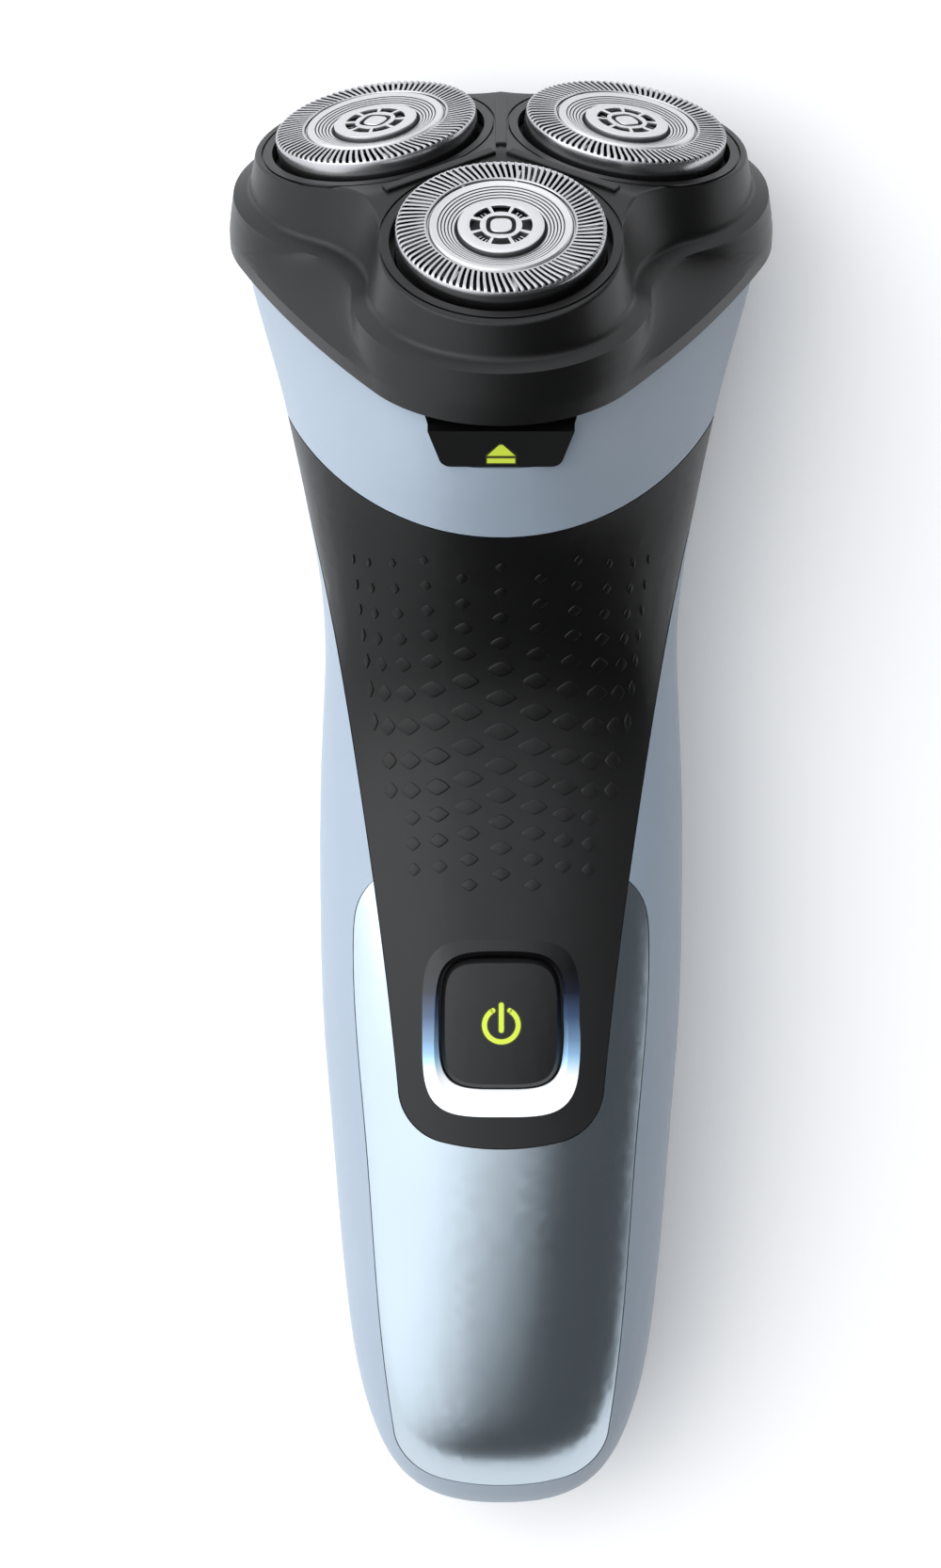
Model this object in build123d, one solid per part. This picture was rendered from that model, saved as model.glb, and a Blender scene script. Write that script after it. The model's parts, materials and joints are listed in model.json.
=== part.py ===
from build123d import *
import os
from dataclasses import dataclass
from math import atan2, copysign, cos, degrees, hypot, pi, radians, sin, sqrt, tan

# Rotary electric shaver lying on its back, in millimetres.
# X is across the body, Y runs from the charging end to the head, Z is up out of the front.
# The head has a frame of its own: its z is the head axis, its y points to the back of the
# shaver, and its origin lies between the three shaving rings, in the plane of their centres.

# ---- head: where it is and what sets its size ----
HEAD_LEAN = 30.0            # the head axis leans this far from the body's length to the front
HEAD_Y = 156.0              # centre of the three rings along the body
HEAD_Z = 30.0               # and above the surface that the shaver lies on
RING_PITCH = 16.2           # head axis to a ring's centre
RING_TILT = 9.5             # each ring's own axis leans outwards
LOBES = {"front": -90.0, "left": 150.0, "right": 30.0}

# ---- head cover ----
ROOF_DROP = 2.1             # cover top below the plane of a ring's face
COVER_WALL = 1.4
LOBE_WALL = 0.9
SHOULDER_RADIUS = 14.2      # lobe outline where the raised clover meets the ledge
SHOULDER_WAIST = 18.2
SHOULDER_H = -7.7
CLOVER_DRAFT = 0.2          # the clover narrows by this much for each millimetre of height
CLOVER_TOP_H = 2.0
LEDGE_RADIUS = 16.1
LEDGE_WAIST = 20.4
LEDGE_H = -8.9
SKIRT_RADIUS = 16.5
SKIRT_WAIST = 23.8
SKIRT_H = -11.2
RIM_RADIUS = 16.7
RIM_WAIST = 25.6
RIM_H = -13.2
SEAM_H = -15.0              # plane where the head meets the collar
SEAM_GAP = 0.15
ROOF_EDGE_ROUND = 0.4
CREASE_RADIUS = 13.1           # fine groove in the roof round each ring
CREASE_WIDTH = 0.26
CREASE_DEPTH = 0.25
COVE_WIDTH = 0.8               # hollow between the clover's wall and the ledge
COVE_HEIGHT = 0.75
COVE_STEPS = 4
SKIRT_BEND = 60.0              # degrees through which the skirt's side bends
SKIRT_STEPS = 6
HOLLOW_OVERRUN = 2.5           # the cover's hollow runs on below its rim
RIB_WIDTH = 1.2
RIB_HEIGHT = 0.35
RIB_START = 1.0
RIB_END = 14.6
RING_GAP = 0.7              # dark gap round each ring

# ---- ring guards, carriers and cutters, in each ring's own frame ----
GUARD_RADIUS = 11.3
GUARD_WALL = 0.5
GUARD_SHEET = 0.6
GUARD_HEIGHT = 4.9
GUARD_EDGE = 0.35
TRACK_INNER = 8.1
GROOVE_DEPTH = 0.35
GROOVE_WIDTH = 0.35
DISH_RADIUS = 7.6
CENTRE_RADIUS = 4.65
CENTRE_RISE = 0.2
SLOT_COUNT = 72
SLOT_WIDTH = 0.36
SLOT_START = 8.4
SLOT_END = 10.75
PETAL_OUTER = 3.4
PETAL_INNER = 2.45
PETAL_ANGLE = 46.0
CARRIER_CLEARANCE = 0.15
CARRIER_WALL = 0.85
CARRIER_TOP = -4.3
CARRIER_HEIGHT = 2.4
TILT_AXIS_Z = -5.5
BLADE_COUNT = 9
BLADE_THICKNESS = 0.35
BLADE_INNER = 8.35
BLADE_OUTER = 10.5
BLADE_RUN = 0.08            # blade tips below the guard sheet
BLADE_RAKE = 20.0
CUTTER_DISC_TOP = -2.4
CUTTER_DISC_THICKNESS = 0.6
HUB_RADIUS = 3.1
HUB_NOSE_RADIUS = 1.7
HUB_NOSE_TOP = -1.0
RING_SINK = 0.8             # how far a ring can be pressed into the head

# ---- spindles and gears, in the head's frame ----
MODULE = 0.5
SUN_TEETH = 30
PLANET_TEETH = 28
WHEEL_TEETH = 18
PINION_TEETH = 12
BACKLASH = 0.14
GEAR_FACE = 2.4
WHEEL_FACE = 2.6
GEAR_SIDE_GAP = 0.3
SPINDLE_RADIUS = 1.5
SPINDLE_COLLAR = 2.3
NECK_ROOM = 0.35               # between a sunken coupler and the collar of its spindle
RUNNING_GAP = 0.05
KEY_WIDTH = 2.1             # square drive key on each spindle
SOCKET_CLEARANCE = 0.6      # lets the cutter tilt, sink and lift off the key
KEY_ENGAGEMENT = 1.2
SINK_ROOM = 0.6

# ---- deck, gasket and gear case, in the head's frame ----
COLLAR_RADIUS = 15.0
COLLAR_WAIST = 24.3
COLLAR_WALL = 2.2
LEDGE_WIDTH = 1.2           # inner ledge that carries the deck
DECK_TOP = -16.4
DECK_THICKNESS = 2.1
DECK_GAP = 0.2
GASKET_THICKNESS = 0.6
GASKET_WIDTH = 0.9
SEAL_RADIUS = 2.6
SEAL_HEIGHT = 0.8
CASE_WALL = 0.9
CASE_GAP = 0.3
CASE_WAIST = 13.4
SCREW_PITCH = 10.6
SCREW_RADIUS = 0.9
SCREW_HEAD_RADIUS = 1.7
SCREW_HEAD_HEIGHT = 1.0
SCREW_LENGTH = 4.2
SCREW_END_ROOM = 0.3        # the hole runs this much deeper than its screw
POST_RADIUS = 2.1
CENTRE_PIN_RADIUS = 1.2

# ---- motor, in the head's frame ----
MOTOR_RADIUS = 7.8
MOTOR_LENGTH = 17.5
MOTOR_FLAT = 6.6            # half width across the can's two flats
MOTOR_WALL = 0.8
MOTOR_END = 2.0
ARMATURE_RADIUS = 5.2
ARMATURE_GAP = 0.8
MOTOR_BOSS_RADIUS = 3.0
MOTOR_SHAFT_RADIUS = 1.0

# ---- hinge of the head, in the head's frame ----
HINGE_P = 22.3
HINGE_H = -16.5
KNUCKLE_RADIUS = 1.3
PIN_RADIUS = 0.6
PIN_LENGTH = 24.0
KNUCKLE_X = 8.0
KNUCKLE_LENGTH = 3.4
HINGE_GAP = 0.3
RELIEF_WIDTH = 42.0

# ---- retaining frame and lock, in the head's frame ----
FRAME_TOP = -10.6
FRAME_THICKNESS = 1.2
FRAME_GAP = 0.4
FRAME_WINDOW = 7.4
FRAME_RIM = 1.4
LOCK_RADIUS = 3.4
LOCK_HEIGHT = 1.9
LOCK_WING = 9.0
BOSS_RADIUS = 2.2
LOCK_SHAFT_RADIUS = 0.9

# ---- body shell ----
BODY_WALL = 2.2
PANEL_DEPTH = 1.4           # grip and lower panels are let into the front housing
PANEL_GAP = 0.1
PARTING_Z = 12.5            # plane between front and rear housing
SECTION_POWER = 2.3
SECTION_POINTS = 24
BACK_FLAT_Z = 0.3           # the rounded back ends in a narrow flat that it rests on
SEAM_OVERRUN = 1.5          # the outer form's loft runs on past the seam, and is cut flat there
COLLAR_EXTRA = 4.0          # the hollow's loft runs on past the seam

# ---- button, bezel and release ----
BUTTON_Y = 59.9
BUTTON_HALF_X = 6.7
BUTTON_HALF_Y = 7.25
BUTTON_POWER = 4.2
BUTTON_SUNK = 0.3
BUTTON_BEVEL = 0.45
BUTTON_GAP = 0.3
BUTTON_FLANGE = 1.1
BUTTON_FLANGE_THICKNESS = 0.8
BUTTON_FLANGE_Z = 30.2
BUTTON_TRAVEL = 0.4
BEZEL_Y = 59.4
BEZEL_HALF_X = 8.8
BEZEL_HALF_Y = 9.95
BEZEL_DEPTH = 1.3
RELEASE_Y = 124.3
RELEASE_Z = 47.0
RELEASE_SLOPE = 53.7        # direction of the collar's surface there, from the body's length
RELEASE_TOP_HALF = 7.8
RELEASE_BOTTOM_HALF = 6.3
RELEASE_LOW = -2.3
RELEASE_HIGH = 2.45
RELEASE_PROUD = 0.35
RELEASE_DEPTH = 2.6
RELEASE_GAP = 0.2
RELEASE_TRAVEL = 0.9
CATCH_GAP = 0.2
CATCH_THICKNESS = 1.0
CATCH_HALF = 4.0

# ---- inside the body ----
BATTERY_RADIUS = 7.1
BATTERY_LENGTH = 49.0
BATTERY_Y = 21.0
BATTERY_Z = 11.0
CRADLE_Y = (30.0, 60.0)
CRADLE_THICKNESS = 2.0
CRADLE_HALF = 10.0
TRAY_Z = 18.6
TRAY_THICKNESS = 1.5
TRAY_HALF = 11.0
BOARD_Z = 22.0
BOARD_THICKNESS = 1.6
BOARD_HALF = 11.0
BOARD_START = 17.5
BOARD_END = 84.0
SWITCH_HALF = 3.0
SWITCH_HEIGHT = 3.4
SWITCH_TRAVEL_GAP = 0.45
CONTACT_THICKNESS = 0.3
SOCKET_Z = 12.5
SOCKET_HALF_X = 5.0
SOCKET_HALF_Z = 3.3
SOCKET_WALL = 0.8
SOCKET_LENGTH = 13.0
SOCKET_RECESS = 8.5
CHARGE_PIN_RADIUS = 0.6
CHARGE_PIN_PITCH = 4.0
CHARGE_PIN_PROUD = 3.2

# ---- trimmer on the back ----
TRIMMER_HALF = 11.0
TRIMMER_HINGE_Y = 99.0
TRIMMER_HINGE_Z = 6.9
TRIMMER_KNUCKLE = 1.9
TRIMMER_END_Y = 111.5
TRIMMER_GAP = 0.3
TRIMMER_SWING_GAP = 0.7        # room below the hinge for the arm's outer corner as it swings
TRIMMER_PIN = 0.7
COMB_TEETH = 20
COMB_PITCH = 1.0
COMB_TOOTH = 0.5
COMB_LENGTH = 1.6
COMB_THICKNESS = 0.5
BLADE_STROKE = 0.5
SLIDE_HALF = 5.0
SLIDE_START = 84.5
SLIDE_END = 92.0
SLIDE_TRAVEL = 2.5
SLIDE_PROUD = 1.0


@dataclass(frozen=True)
class Station:
    """One cross-section of the body: its centre, lean, half width and reach to each side."""

    y: float
    z: float
    lean: float
    half_width: float
    front: float
    back: float
    triangle: float


SEAM_Y = HEAD_Y + SEAM_H * cos(radians(HEAD_LEAN))
SEAM_Z = HEAD_Z + SEAM_H * sin(radians(HEAD_LEAN))
STATIONS = (
    Station(0.0, 12.5, 0.0, 5.4, 3.9, 3.9, 0.0),
    Station(0.55, 12.7, 0.0, 7.4, 5.1, 4.7, 0.0),
    Station(2.2, 13.2, 0.0, 10.3, 7.0, 6.4, 0.0),
    Station(5.0, 13.9, 0.0, 12.7, 9.2, 8.6, 0.0),
    Station(9.5, 14.8, 0.0, 14.8, 11.8, 11.8, 0.0),
    Station(15.5, 15.5, 0.0, 16.5, 13.5, 14.0, 0.0),
    Station(24.0, 16.2, 0.0, 17.8, 14.8, 15.8, 0.0),
    Station(35.0, 16.7, 0.0, 18.8, 16.0, 16.6, 0.0),
    Station(47.0, 17.0, 0.0, 19.7, 16.8, 17.0, 0.0),
    Station(58.0, 17.0, 0.0, 20.5, 17.0, 17.0, 0.0),
    Station(70.0, 17.0, 0.0, 20.8, 16.2, 16.4, 0.0),
    Station(82.0, 16.8, 0.0, 20.8, 14.8, 14.6, 0.0),
    Station(93.0, 16.8, 0.0, 20.4, 13.7, 13.0, 0.0),
    Station(102.6, 17.4, 8.0, 20.2, 14.6, 13.1, 0.05),
    Station(112.0, 18.8, 15.0, 21.4, 17.0, 14.8, 0.2),
    Station(121.6, 20.4, 22.0, 23.6, 20.1, 17.4, 0.45),
    Station(130.0, 21.8, 26.0, 25.8, 24.3, 20.8, 0.75),
    Station(SEAM_Y, SEAM_Z, HEAD_LEAN, RING_PITCH * cos(radians(30.0)) + COLLAR_RADIUS,
            RING_PITCH + COLLAR_RADIUS, COLLAR_WAIST, 1.0),
)
FIRST_HOLLOW_STATION = 4

HEAD = Plane(
    origin=(0, HEAD_Y, HEAD_Z),
    x_dir=(1, 0, 0),
    z_dir=(0, cos(radians(HEAD_LEAN)), sin(radians(HEAD_LEAN))),
)
RELEASE = Plane(
    origin=(0, RELEASE_Y, RELEASE_Z),
    x_dir=(1, 0, 0),
    z_dir=(0, -cos(radians(RELEASE_SLOPE)), sin(radians(RELEASE_SLOPE))),
)
SPINDLE_PITCH = MODULE * (SUN_TEETH + PLANET_TEETH) / 2
MOTOR_OFFSET = MODULE * (WHEEL_TEETH + PINION_TEETH) / 2
COUPLING_DEPTH = (RING_PITCH - SPINDLE_PITCH) / sin(radians(RING_TILT))
DECK_BOTTOM = DECK_TOP - DECK_THICKNESS
GEAR_TOP = DECK_BOTTOM - GEAR_SIDE_GAP
GEAR_BOTTOM = GEAR_TOP - GEAR_FACE
TRAY_FLOOR_TOP = GEAR_BOTTOM - GEAR_SIDE_GAP
TRAY_FLOOR_BOTTOM = TRAY_FLOOR_TOP - CASE_WALL
WHEEL_TOP = TRAY_FLOOR_BOTTOM - GEAR_SIDE_GAP
WHEEL_BOTTOM = WHEEL_TOP - WHEEL_FACE
POT_FLOOR_TOP = WHEEL_BOTTOM - GEAR_SIDE_GAP
CASE_BOTTOM = POT_FLOOR_TOP - CASE_WALL
CASE_LOBE = MODULE * PLANET_TEETH / 2 + MODULE + CASE_GAP + CASE_WALL
HOLE_RADIUS = GUARD_RADIUS + RING_GAP
HUB_BOTTOM = -(COUPLING_DEPTH + KEY_ENGAGEMENT / 2)
SPINDLE_NECK_H = -(
    (COUPLING_DEPTH + KEY_ENGAGEMENT / 2 + RING_SINK) * cos(radians(RING_TILT))
    + HUB_RADIUS * sin(radians(RING_TILT)) + NECK_ROOM
)
KEY_TOP_H = -COUPLING_DEPTH * cos(radians(RING_TILT)) + KEY_ENGAGEMENT / 2
SPACE = 200.0               # larger than the shaver, for cutting tools


# ---------------------------------------------------------------- simple helpers
def rod(radius, low, high):
    """Round bar along z."""
    return Pos(0, 0, low) * Cylinder(radius, high - low, align=(Align.CENTER, Align.CENTER, Align.MIN))


def pipe(outer, inner, low, high):
    """Round tube along z."""
    return rod(outer, low, high) - rod(inner, low - 1, high + 1)


def block(x_low, x_high, y_low, y_high, z_low, z_high):
    """Box between two corners."""
    size = (x_high - x_low, y_high - y_low, z_high - z_low)
    return Pos(x_low, y_low, z_low) * Box(*size, align=(Align.MIN, Align.MIN, Align.MIN))


def cross_rod(radius, x_low, x_high, y, z):
    """Round bar along x."""
    return Pos(x_low, y, z) * Rot(0, 90, 0) * rod(radius, 0, x_high - x_low)


def squircle(half_x, half_y, power, points=32):
    """Closed face with the outline of a rounded square."""
    outline = []
    for step in range(points):
        turn = 2 * pi * step / points
        across = copysign(abs(cos(turn)) ** (2 / power), cos(turn))
        along = copysign(abs(sin(turn)) ** (2 / power), sin(turn))
        outline.append(Vector(half_x * across, half_y * along, 0))
    return Face(Wire([Edge.make_spline(outline, periodic=True)]))


def lobe_plane(angle):
    """Frame of one ring inside the head's frame: z is the ring's axis, x its tilt axis."""
    outwards = (cos(radians(angle)), sin(radians(angle)))
    lean = radians(RING_TILT)
    return Plane(
        origin=(RING_PITCH * outwards[0], RING_PITCH * outwards[1], 0),
        x_dir=(-outwards[1], outwards[0], 0),
        z_dir=(sin(lean) * outwards[0], sin(lean) * outwards[1], cos(lean)),
    )


def spindle_location(angle):
    """Place of one spindle inside the head's frame."""
    centre = (SPINDLE_PITCH * cos(radians(angle)), SPINDLE_PITCH * sin(radians(angle)), 0)
    return Location(centre, (0, 0, angle))


# ---------------------------------------------------------------- three-lobed outlines
def side_arc(radius, waist, pitch):
    """Radius and centre distance of the arc that joins two lobes; negative when it bulges."""
    joining = (pitch**2 + waist**2 - pitch * waist - radius**2) / (2 * radius + pitch - 2 * waist)
    return joining, waist + joining


def lobe_tangent(radius, waist, pitch):
    """Point where a lobe meets the joining arc, for a lobe on the x axis."""
    joining, distance = side_arc(radius, waist, pitch)
    across = distance * cos(radians(60)) - pitch
    along = distance * sin(radians(60))
    reach = copysign(radius, joining) / hypot(across, along)
    return pitch + across * reach, along * reach


def trefoil_wire(radius, waist, height, pitch=RING_PITCH):
    """Outline of three lobes round the head axis, joined by arcs, at one height."""
    tangent_x, tangent_y = lobe_tangent(radius, waist, pitch)
    tangent_r, tangent_a = hypot(tangent_x, tangent_y), degrees(atan2(tangent_y, tangent_x))

    def point(distance, angle):
        return Vector(distance * cos(radians(angle)), distance * sin(radians(angle)), height)

    edges = []
    for angle in (-90.0, 30.0, 150.0):
        start, end = point(tangent_r, angle - tangent_a), point(tangent_r, angle + tangent_a)
        onward = point(tangent_r, angle + 120 - tangent_a)
        edges.append(Edge.make_three_point_arc(start, point(pitch + radius, angle), end))
        edges.append(Edge.make_three_point_arc(end, point(waist, angle + 60), onward))
    return Wire(edges)


def trefoil_radius(angle, radius, waist, pitch=RING_PITCH):
    """Distance from the head axis to the three-lobed outline in one direction."""
    joining, distance = side_arc(radius, waist, pitch)
    tangent_x, tangent_y = lobe_tangent(radius, waist, pitch)
    from_lobe = abs((angle + 90 + 60) % 120 - 60)
    if from_lobe <= degrees(atan2(tangent_y, tangent_x)):
        turn = radians(from_lobe)
        return pitch * cos(turn) + sqrt(radius**2 - (pitch * sin(turn)) ** 2)
    turn = radians(60 - from_lobe)
    return distance * cos(turn) - copysign(sqrt(joining**2 - (distance * sin(turn)) ** 2), joining)


def trefoil_prism(radius, waist, low, high, pitch=RING_PITCH):
    """Straight three-lobed bar along the head axis."""
    return extrude(Face(trefoil_wire(radius, waist, low, pitch)), high - low, (0, 0, 1))


# ---------------------------------------------------------------- body form
def body_section(station, inset):
    """Closed outline of one body cross-section, drawn in by the inset."""
    width, front, back = station.half_width - inset, station.front - inset, station.back - inset
    radius, waist = COLLAR_RADIUS - inset, COLLAR_WAIST - inset
    seam_width = RING_PITCH * cos(radians(30)) + radius
    seam_reach = RING_PITCH + radius + waist
    lean = radians(station.lean)
    outline = []
    for step in range(SECTION_POINTS):
        angle = -90 + 360 * step / SECTION_POINTS
        across, along = cos(radians(angle)), sin(radians(angle))
        oval_x = width * copysign(abs(across) ** (2 / SECTION_POWER), across)
        reach = front if along > 0 else back
        oval_v = reach * copysign(abs(along) ** (2 / SECTION_POWER), along)
        seam_r = trefoil_radius(-angle, radius, waist)
        seam_x = seam_r * across * width / seam_width
        seam_v = (seam_r * along + waist) * (front + back) / seam_reach - back
        x = oval_x + (seam_x - oval_x) * station.triangle
        v = oval_v + (seam_v - oval_v) * station.triangle
        outline.append(Vector(x, station.y - v * sin(lean), station.z + v * cos(lean)))
    return Wire([Edge.make_spline(outline, periodic=True)])


def body_form(inset=0.0, first=0, top_inset=None, extra=0.0):
    """Solid of the body's form, drawn in by an inset, and run on past the seam if asked."""
    sections = [body_section(station, inset) for station in STATIONS[first:-1]]
    seam = STATIONS[-1]
    last = inset if top_inset is None else top_inset
    sections.append(body_section(seam, last))
    if extra:
        lean = radians(HEAD_LEAN)
        beyond = Station(seam.y + extra * cos(lean), seam.z + extra * sin(lean), seam.lean,
                         seam.half_width, seam.front, seam.back, seam.triangle)
        sections.append(body_section(beyond, last))
    return Solid.make_loft(sections)


def in_head(shape):
    """Moves a shape from the head's frame to the body's."""
    return HEAD.location * shape


@dataclass(frozen=True)
class PanelOutline:
    """Plan outline of a panel, symmetric about x = 0, given by its right half from the top down."""

    side: tuple
    corner: tuple
    foot: tuple
    floor: float
    top: float

    def top_arc_y(self, x, grow):
        """Height at x of the hollow arc along the top, moved out by a gap."""
        half_width, rise = self.side[0][0], self.side[0][1] - self.top
        radius = (half_width**2 + rise**2) / (2 * rise)
        return self.top + radius - sqrt((radius - grow)**2 - x**2)

    def face(self, grow=0.0):
        """Face of the outline, with all its edges moved out by a gap."""
        side = [(x + grow, y) for x, y in self.side]
        corner = (self.corner[0] + grow, self.corner[1] - grow)
        foot = (self.foot[0], self.foot[1] - grow)
        start, end = side[0], side[-1]

        def mirrored(point):
            return -point[0], point[1]

        def arc(*points):
            return Edge.make_three_point_arc(*(Vector(*point, 0) for point in points))

        def spline(points):
            return Edge.make_spline([Vector(*point, 0) for point in points])

        if self.top == self.side[0][1]:
            top_edge = Edge.make_line(Vector(*start, 0), Vector(*mirrored(start), 0))
        else:
            start = side[0] = (start[0], self.top_arc_y(start[0], grow))
            top_edge = arc(start, (0, self.top + grow), mirrored(start))
        return Face(Wire([
            spline(side),
            arc(end, corner, foot),
            arc(foot, (0, self.floor - grow), mirrored(foot)),
            arc(mirrored(foot), mirrored(corner), mirrored(end)),
            spline([mirrored(point) for point in side]),
            top_edge,
        ]))


GRIP = PanelOutline(
    side=((25.6, 129.4), (20.4, 111.0), (16.1, 87.5), (12.9, 65.5), (11.5, 52.4)),
    corner=(9.9, 48.4), foot=(6.6, 46.5), floor=45.8, top=114.3,
)
LOWER = PanelOutline(
    side=((14.3, 75.4), (16.0, 72.9), (16.6, 68.6), (15.3, 46.4), (13.8, 24.1), (12.4, 11.0)),
    corner=(10.6, 6.6), foot=(6.6, 4.4), floor=3.7, top=75.4,
)


def column(face, low, high):
    """Straight prism of a plan outline between two heights."""
    return extrude(Pos(0, 0, low) * face, high - low, (0, 0, 1))


def release_prism(grow, low, high, reach):
    """Trapezoid of the release button, square to the collar's surface."""
    slope = (RELEASE_TOP_HALF - RELEASE_BOTTOM_HALF) / (RELEASE_HIGH - RELEASE_LOW)
    top_half = RELEASE_TOP_HALF + grow + slope * reach
    corners = [
        (-RELEASE_BOTTOM_HALF - grow, RELEASE_LOW - grow),
        (RELEASE_BOTTOM_HALF + grow, RELEASE_LOW - grow),
        (top_half, RELEASE_HIGH + reach),
        (-top_half, RELEASE_HIGH + reach),
    ]
    outline = Face(Wire.make_polygon([Vector(x, y, low) for x, y in corners]))
    prism = extrude(outline, high - low, (0, 0, 1))
    uprights = prism.edges().filter_by(Axis.Z).group_by(Axis.Y)[0]
    return RELEASE.location * fillet(uprights, 1.3)


# ---------------------------------------------------------------- housings and panels
OUTER = body_form(extra=SEAM_OVERRUN) - in_head(block(-SPACE, SPACE, -SPACE, SPACE, SEAM_H, SPACE))
OUTER &= block(-SPACE, SPACE, -SPACE, SPACE, BACK_FLAT_Z, SPACE)
BED = body_form(PANEL_DEPTH, extra=COLLAR_EXTRA)
HOLLOW = body_form(BODY_WALL, FIRST_HOLLOW_STATION, COLLAR_WALL + LEDGE_WIDTH, COLLAR_EXTRA)
SKIN = OUTER - BED
FRONT_HALF = block(-SPACE, SPACE, -SPACE, SPACE, PARTING_Z, SPACE)


def socket_stadium(half_x, half_z, y_low, y_high):
    """Oval bar along the body at the charging end."""
    length = y_high - y_low
    straight = half_x - half_z
    middle = block(-straight, straight, y_low, y_high, SOCKET_Z - half_z, SOCKET_Z + half_z)
    ends = [Pos(x, y_low, SOCKET_Z) * Rot(-90, 0, 0) * rod(half_z, 0, length) for x in (-straight, straight)]
    return middle + ends[0] + ends[1]


def hinge_knuckle(x_centre, radius, length):
    """Round knuckle on the head's hinge axis, in the head's frame."""
    return cross_rod(radius, x_centre - length / 2, x_centre + length / 2, HINGE_P, HINGE_H)


def shell_whole():
    """Whole outer shell before it is parted: hollow, deck seat, hinge relief and sockets."""
    shell = OUTER - HOLLOW
    seat = trefoil_prism(COLLAR_RADIUS - COLLAR_WALL, COLLAR_WAIST - COLLAR_WALL, DECK_BOTTOM - DECK_GAP, 0)
    shell -= in_head(seat)
    # The back edge of the collar is rounded about the hinge axis, so that the head can swing.
    half = RELIEF_WIDTH / 2
    relief = block(-half, half, HINGE_P, HINGE_P + 6, HINGE_H, SEAM_H + 2)
    relief -= hinge_knuckle(0, KNUCKLE_RADIUS, RELIEF_WIDTH)
    shell -= in_head(relief)
    for side in (-1, 1):
        reach = KNUCKLE_LENGTH / 2 + HINGE_GAP
        slot = block(side * KNUCKLE_X - reach, side * KNUCKLE_X + reach, HINGE_P - KNUCKLE_RADIUS - 0.6,
                     HINGE_P + 6, HINGE_H - KNUCKLE_RADIUS - 0.4, SEAM_H + 2)
        shell -= in_head(slot)
    shell -= in_head(cross_rod(PIN_RADIUS, -PIN_LENGTH / 2, PIN_LENGTH / 2, HINGE_P, HINGE_H))
    shell -= release_prism(RELEASE_GAP, -7.0, 6.0, 6.0)
    shell -= socket_stadium(SOCKET_HALF_X, SOCKET_HALF_Z, -1, SOCKET_LENGTH)
    return shell


SHELL = shell_whole()


def front_housing():
    """Front shell with the beds of both panels and the opening of the power button."""
    shell = SHELL & FRONT_HALF
    for outline in (GRIP, LOWER):
        shell -= SKIN & column(outline.face(PANEL_GAP), PARTING_Z + 4, SPACE)
    opening = Pos(0, BUTTON_Y) * squircle(BUTTON_HALF_X + BUTTON_GAP, BUTTON_HALF_Y + BUTTON_GAP, BUTTON_POWER)
    shell -= column(opening, PARTING_Z + 2, SPACE)
    return shell


def rear_housing():
    """Rear shell with the opening of the trimmer and the slot of its slide."""
    shell = SHELL - FRONT_HALF
    reach = TRIMMER_HALF + TRIMMER_GAP
    shell -= block(-reach, reach, TRIMMER_HINGE_Y - TRIMMER_KNUCKLE - TRIMMER_SWING_GAP,
                   TRIMMER_END_Y + TRIMMER_GAP, -5, TRIMMER_HINGE_Z + TRIMMER_KNUCKLE + TRIMMER_GAP)
    shell -= cross_rod(TRIMMER_PIN, -TRIMMER_HALF - 2, TRIMMER_HALF + 2, TRIMMER_HINGE_Y, TRIMMER_HINGE_Z)
    half = SLIDE_HALF - 2
    shell -= block(-half, half, SLIDE_START + 0.7, SLIDE_END + SLIDE_TRAVEL - 0.7, -5, PARTING_Z - 4)
    return shell


def bezel_column(low, high):
    """Prism of the bezel's outline."""
    return column(Pos(0, BEZEL_Y) * squircle(BEZEL_HALF_X, BEZEL_HALF_Y, BUTTON_POWER), low, high)


def grip_panel():
    """Black grip panel, let into the front, with the opening for the bezel."""
    panel = column(GRIP.face(), PARTING_Z + 4, SPACE) & SKIN
    return panel - bezel_column(0, SPACE)


def lower_panel():
    """Silver lower panel round the grip panel's tail."""
    panel = column(LOWER.face(), PARTING_Z + 4, SPACE) & SKIN
    return panel - column(GRIP.face(PANEL_GAP), PARTING_Z + 4, SPACE)


def button_bezel():
    """Polished ring whose inner wall slopes down to the button."""
    inner = squircle(BUTTON_HALF_X + BUTTON_GAP, BUTTON_HALF_Y + BUTTON_GAP, BUTTON_POWER)
    outer = squircle(BEZEL_HALF_X - 0.4, BEZEL_HALF_Y - 0.4, BUTTON_POWER)
    top = OUTER.bounding_box().max.Z
    crest = STATIONS[9].z + STATIONS[9].front
    funnel = Solid.make_loft([
        (Pos(0, BUTTON_Y, crest - BEZEL_DEPTH - 2) * inner).outer_wire(),
        (Pos(0, BUTTON_Y, crest - BEZEL_DEPTH) * inner).outer_wire(),
        (Pos(0, BEZEL_Y, crest + 0.3) * outer).outer_wire(),
    ], ruled=True)
    ring = bezel_column(crest - 6, top) & SKIN
    return ring - funnel


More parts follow.
